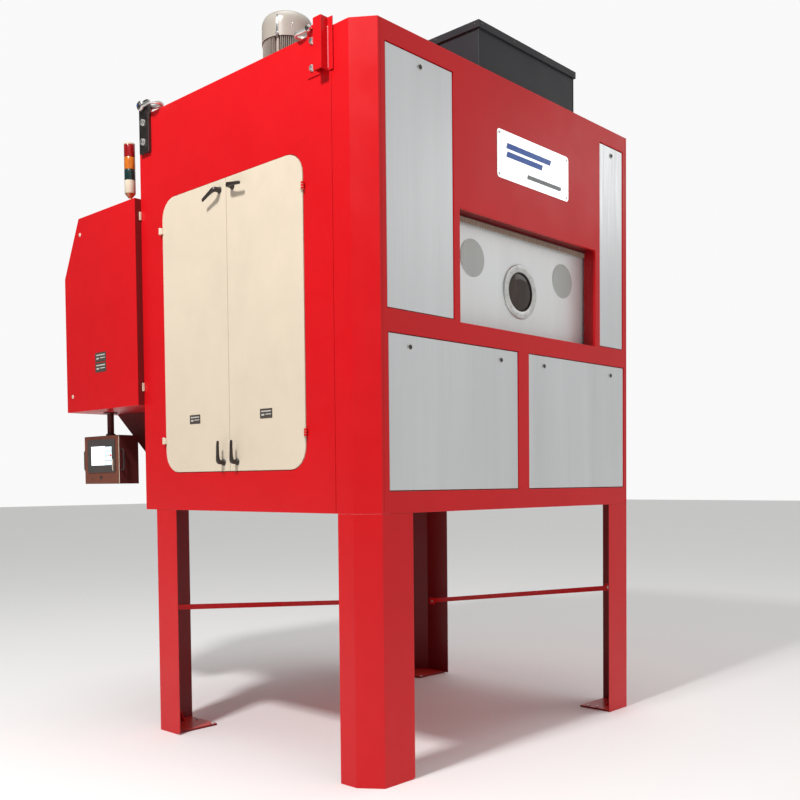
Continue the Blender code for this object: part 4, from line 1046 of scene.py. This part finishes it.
# ---- signal tower
def signal_tower():
    foot_low, foot_high = span("signal_base")
    axis = middle_of("signal_base")
    axis.z = 0
    radius = 0.032
    z0 = foot_low.z
    made("signal_foot", "cream_plastic", turned, [(0, z0), (0.024, z0), (0.024, z0 + 0.004),
         (0.021, z0 + 0.006), (0.008, z0 + 0.007), (0.008, 3.186), (radius - 0.002, 3.186), (radius, 3.189),
         (radius, foot_high.z - 0.002), (radius - 0.002, foot_high.z - 0.0003), (0, foot_high.z - 0.0003)],
         axis, UP, 48, stands_for=["signal_base"])
    made("signal_cone", "bronze", turned, [(0.0083, 3.161), (0.011, 3.161), (0.014, 3.165), (0.029, 3.1825),
         (0.031, 3.1858), (0.0083, 3.1858)], axis, UP, 48, loop=True)
    for node, look, name in (("signal_lamp_green", "green_lens", "lamp_dark"),
                             ("signal_lamp_amber", "amber_lens", "lamp_amber"),
                             ("signal_lamp_red", "red_lens", "lamp_red")):
        low, high = span(node)
        top = high.z - (0.0102 if node.endswith("red") else 0)
        flutes = 64
        rings = []
        for z, shrink in ((low.z, 0.004), (low.z + 0.001, 0.0008), (low.z + 0.003, 0), (top - 0.003, 0),
                          (top - 0.001, 0.0008), (top, 0.004)):
            rings.append([polar(axis, radius - shrink - 0.0006 * (k % 2), 2 * pi * k / flutes, z)
                          for k in range(flutes)])
        made(name, look, skin, rings, stands_for=[node])
    top = span("signal_lamp_red")[1].z
    made("signal_cap", "cream_plastic", turned, [(0, top - 0.01), (radius, top - 0.01),
         (radius, top - 0.003), (radius - 0.004, top), (0, top)], axis, UP, 48)


# ---- operator's console
def console_detail():
    low, high = span("console_screen")
    body = "console"
    face = high.x
    outer = rounded((low.y, low.z), (high.y, high.z), 0.012, 6)
    wide, tall = high.y - low.y, high.z - low.z
    page_low = (high.y - wide * 0.89, low.z + tall * 0.20)
    page_high = (high.y - wide * 0.12, low.z + tall * 0.82)
    inner = rounded(page_low, page_high, 0.004, 6)
    deep = face - 0.0012
    rings = stacked([(face, outer), (low.x, outer), (low.x, inner), (deep - 0.001, inner)], "X")
    made("screen_bezel", "screen_black", skin, rings, body=body, bevel=0.0010, stands_for=["console_screen"])
    split = high.y - wide * 0.645
    made("screen_page", "screen_white", block, (deep - 0.0022, split + 0.004, page_low[1] + 0.004),
         (deep - 0.0011, page_high[0] - 0.004, page_high[1] - 0.006), body=body)
    column = new()
    rows = 4
    step = (page_high[1] - page_low[1] - 0.012) / rows
    for i in range(rows):
        z = page_low[1] + 0.005 + i * step
        block(column, (deep - 0.0022, page_low[0] + 0.004, z),
              (deep - 0.0011, split - 0.002, z + step - 0.003))
    add("screen_column", column, "screen_blue", body)
    made("screen_button", "screen_red", turned, [(0, 0), (0.0085, 0), (0.0085, 0.0006), (0, 0.0006)],
         (deep - 0.0023, page_low[0] + 0.018, (page_low[1] + page_high[1]) / 2), OUT_LEFT, 24, body=body)
    y, z = low.y + wide * 0.055, low.z + tall * 0.30
    made("screen_stylus", "cream_plastic", tube, [(low.x - 0.004, y - 0.002, z - 0.055),
         (low.x - 0.004, y - 0.001, z - 0.045), (low.x - 0.004, y, z + 0.02)], [0.0015, 0.0036, 0.0036], 12,
         body=body)
    console_low, console_high = span("console_box")
    middle = middle_of("console_box")
    front = -0.135 / 2 + middle.x
    fittings = new()
    dome_screw(fittings, (front, middle.y + 0.115, console_low.z + 0.032), OUT_LEFT, 0.005, 0.002)
    dome_screw(fittings, (front, middle.y - 0.090, console_low.z + 0.045), OUT_LEFT, 0.004, 0.002)
    turned(fittings, [(0, 0), (0.011, 0), (0.011, 0.003), (0.0085, 0.005), (0, 0.005)],
           (front, middle.y + 0.010, console_low.z + 0.040), OUT_LEFT, 28)
    add("console_key_switch", fittings, "black_plastic", body)
    # The front door plate carries the lit copy of the console's paint, as painted light.
    made("console_front_door", "console_lit_front", prism, rounded((middle.y - 0.2085, console_low.z + 0.0015),
         (middle.y + 0.2135, console_high.z - 0.0015), 0.004, 3), front - 0.001, front + 0.001, "X",
         body=body)
    # A pale strip down the door's free edge, as a painted highlight of the door seam.
    made("console_edge_highlight", "cream_plastic", block, (front - 0.0012, middle.y - 0.2148,
         console_low.z + 0.003), (front + 0.003, middle.y - 0.209, console_high.z - 0.003), body=body,
         bevel=0.0008)
    grips = new()
    bend, out = 0.232, 0.2435
    points = [(0.210, 1.545), (bend - 0.005, 1.545), (bend + 0.004, 1.548), (out, 1.558), (out, 1.610),
              (out, 1.662), (bend + 0.004, 1.672), (bend - 0.005, 1.675), (0.210, 1.675)]
    for side in (-1, 1):
        tube(grips, [(middle.x - 0.052, middle.y + side * y, z) for y, z in points], 0.0070, 12)
    add("console_grips", grips, "black_plastic", body)
    hinge_pins = new()
    for z in (console_low.z + 0.050, console_high.z - 0.050):
        ends = [(front + 0.010, middle.y + 0.2165, z + half) for half in (-0.020, 0.020)]
        tube(hinge_pins, ends, 0.0045, 12)
    add("console_door_hinges", hinge_pins, "zinc", body)


def pendant_detail():
    low, high = span("pendant_tube")
    middle = middle_of("pendant_tube")
    bolts = new()
    for k in range(4):
        a = radians(45) + k * pi / 2
        hex_bolt(bolts, (middle.x + 0.034 * cos(a), middle.y + 0.034 * sin(a), high.z - 0.0062), -UP, 0.005)
    add("pendant_bolts", bolts, "zinc")
    made("pendant_collar", "dark_steel", turned, [(0.0215, low.z + 0.002), (0.03, low.z + 0.002),
         (0.03, low.z + 0.012), (0.027, low.z + 0.016), (0.0215, low.z + 0.016)], (middle.x, middle.y, 0),
         UP, 36, loop=True)


# ---- loading hood and chute
def hood_detail():
    low, high = span("loading_hood")
    screws = new()
    for y, z in ((1.593, 3.025), (1.726, 2.017)):
        turned(screws, [(0, 0), (0.012, 0), (0.012, 0.002), (0.009, 0.004), (0, 0.004)],
               (low.x, y, z), OUT_LEFT, 24)
    add("hood_fasteners", screws, "cream_plastic")
    for name, z in (("hood_label_upper", 2.2395), ("hood_label_lower", 2.1765)):
        small_label(name, 1.371, z, low.x, 0.130, 0.05796, "cabinet")
    # A dark red strip on the hood's front edge, as painted shade where the hood meets the cabinet.
    seal = new()
    for side in (-1, 1):
        ends = sorted((side * (HALF_X + 0.0005), side * (high.x - 0.0035)))
        block(seal, (ends[0], low.y - 0.0012, low.z + 0.002), (ends[1], low.y - 0.0001, high.z - 0.002))
    add("hood_shade_strip", seal, "shade_red")
    clips = new()
    for z in (2.026, 3.027):
        block(clips, (-HALF_X - 0.014, low.y - 0.010, z - 0.024),
              (-HALF_X - 0.002, low.y - 0.0012, z + 0.024))
    add("hood_clips", clips, "cream_plastic", bevel=0.0015)
    mouth_middle, mouth_half = 0.109, 0.68
    x0, x1 = mouth_middle - mouth_half, mouth_middle + mouth_half
    z0, z1 = 2.000, 2.700
    lip = 0.012
    outer = rounded((x0 - 0.001, z0 - 0.001), (x1 + 0.001, z1 + 0.001), 0.004, 2)
    inner = rounded((x0 + lip, z0 + lip), (x1 - lip, z1 - lip), 0.006, 2)
    near, far = high.y - 0.008, high.y
    made("loading_mouth_trim", "rubber", skin, rim(outer, inner, near, far, "Y"), loop=True, bevel=0.0015)


# ---- legs, bars and plain sides
def leg_detail():
    gussets = new()
    bolts = new()
    for side in (-1, 1):
        for end in (-1, 1):
            name = "leg_" + ("front" if end < 0 else "rear") + "_" + ("left" if side < 0 else "right")
            low, high = span(name)
            outer_x, inner_x = (low.x, high.x)[::-side]
            outer_y, inner_y = (low.y, high.y)[::-end]
            top = 0.012
            x = outer_x - side * 0.180
            y = outer_y - end * 0.0065
            prism(gussets, [(y, top), (y - end * 0.090, top), (y, top + 0.110)], x - 0.003, x + 0.003, "X")
            for bx, by in ((inner_x + side * 0.035, outer_y - end * 0.110),
                           (inner_x + side * 0.035, inner_y + end * 0.045)):
                hex_bolt(bolts, (bx, by, top), UP, 0.010, turn=0.2)
    add("leg_gussets", gussets, "red_paint", bevel=0.0010)
    add("anchor_bolts", bolts, "zinc")
    beads = new()
    y, z = 0.0075 - HALF_Y, 0.0135
    for side in (-1, 1):
        weld(beads, (side * (HALF_X - 0.295), y, z), (side * (HALF_X - 0.085), y, z), 0.0035)
    add("foot_welds", beads, "red_paint")


def tie_bar_detail():
    clips = new()
    bolts = new()
    low, high = span("tie_bar_rear")
    y = low.y
    for x, z in ((low.x + 0.030, high.z - 0.016), (high.x - 0.030, low.z + 0.016)):
        block(clips, (x - 0.028, y - 0.0062, z - 0.024), (x + 0.028, y - 0.0002, z + 0.024))
        hex_bolt(bolts, (x, y - 0.0062, z), OUT_FRONT, 0.008)
    low, high = span("tie_bar_right")
    x = low.x
    for y, z in ((low.y + 0.030, high.z - 0.016), (high.y - 0.030, low.z + 0.016)):
        block(clips, (x - 0.0062, y - 0.028, z - 0.024), (x - 0.0002, y + 0.028, z + 0.024))
        hex_bolt(bolts, (x - 0.0062, y, z), OUT_LEFT, 0.008)
    add("tie_bar_clips", clips, "red_paint", bevel=0.0012)
    add("tie_bar_bolts", bolts, "zinc")


def right_side_panel():
    """The bolted service panel of the plain right side."""
    x = HALF_X
    y0, y1, z0, z1 = -0.560, 0.760, 1.480, 3.360
    made("right_service_panel", "red_paint", prism, rounded((y0, z0), (y1, z1), 0.03, 6), x + 0.0002,
         x + 0.0032, "X", bevel=0.0012)
    fore, aft = y0 + 0.030, y1 - 0.030
    places = [(y, z) for z in spread(z0 + 0.040, z1 - 0.040, 5) for y in (fore, aft)]
    places += [(y, z) for y in spread(fore, aft, 5)[1:4] for z in (z0 + 0.030, z1 - 0.030)]
    screws = new()
    for y, z in places:
        dome_screw(screws, (x + 0.0032, y, z), -OUT_LEFT, 0.008, 0.004)
    add("right_panel_screws", screws, "zinc")


def roof_detail():
    low, high = span("roof_panel")
    inset = Vector((0.004, 0.004, 0))
    (x0, y0, _), (x1, y1, _) = low + inset, high - inset
    chamfer = low.y + 0.14
    corners = [(low.x + 0.10, y0), (high.x - 0.10, y0), (x1, chamfer), (x1, y1), (x0, y1), (x0, chamfer)]
    made("roof_sealant", "rubber", tube, [(x, y, high.z + 0.001) for x, y in corners], 0.0035, 8, loop=True)
    ribs = new()
    for x in (-0.25, 0.70, 1.02):
        prism(ribs, [(x - 0.030, high.z - 0.0005), (x + 0.030, high.z - 0.0005), (x + 0.018, high.z + 0.0045),
                     (x - 0.018, high.z + 0.0045)], -0.20, high.y - 0.08, "Y")
    add("roof_ribs", ribs, "red_paint", bevel=0.0015)


def build():
    camera()
    studio()
    name_plate()
    panel_gaskets()
    for place in ("upper_left", "upper_right", "lower_left_a", "lower_left_b", "lower_right_a",
                  "lower_right_b"):
        panel_lock("panel_lock_" + place, "lock_" + place)
    recess_detail()
    for end in ("rear", "front"):
        service_door_detail("service_door_" + end, end + "_service_door")
        for level in ("low", "high"):
            latch_lever("latch_handle_" + end + "_" + level, end + "_" + level + "_latch")
    small_label("door_label_rear", 0.43, 1.81, -HALF_X - 0.003, 0.100, 0.050, "rear_service_door")
    small_label("door_label_front", -0.20, 1.81, -HALF_X - 0.003, 0.100, 0.050, "front_service_door")
    doorway_trim()
    lifting_bar()
    lifting_hat()
    bow_shackle("shackle_rear", "rear_shackle")
    bow_shackle("shackle_front", "front_shackle")
    duct_detail()
    fan_motor()
    fan_cowl()
    signal_tower()
    console_detail()
    pendant_detail()
    hood_detail()
    leg_detail()
    tie_bar_detail()
    right_side_panel()
    roof_detail()


build()
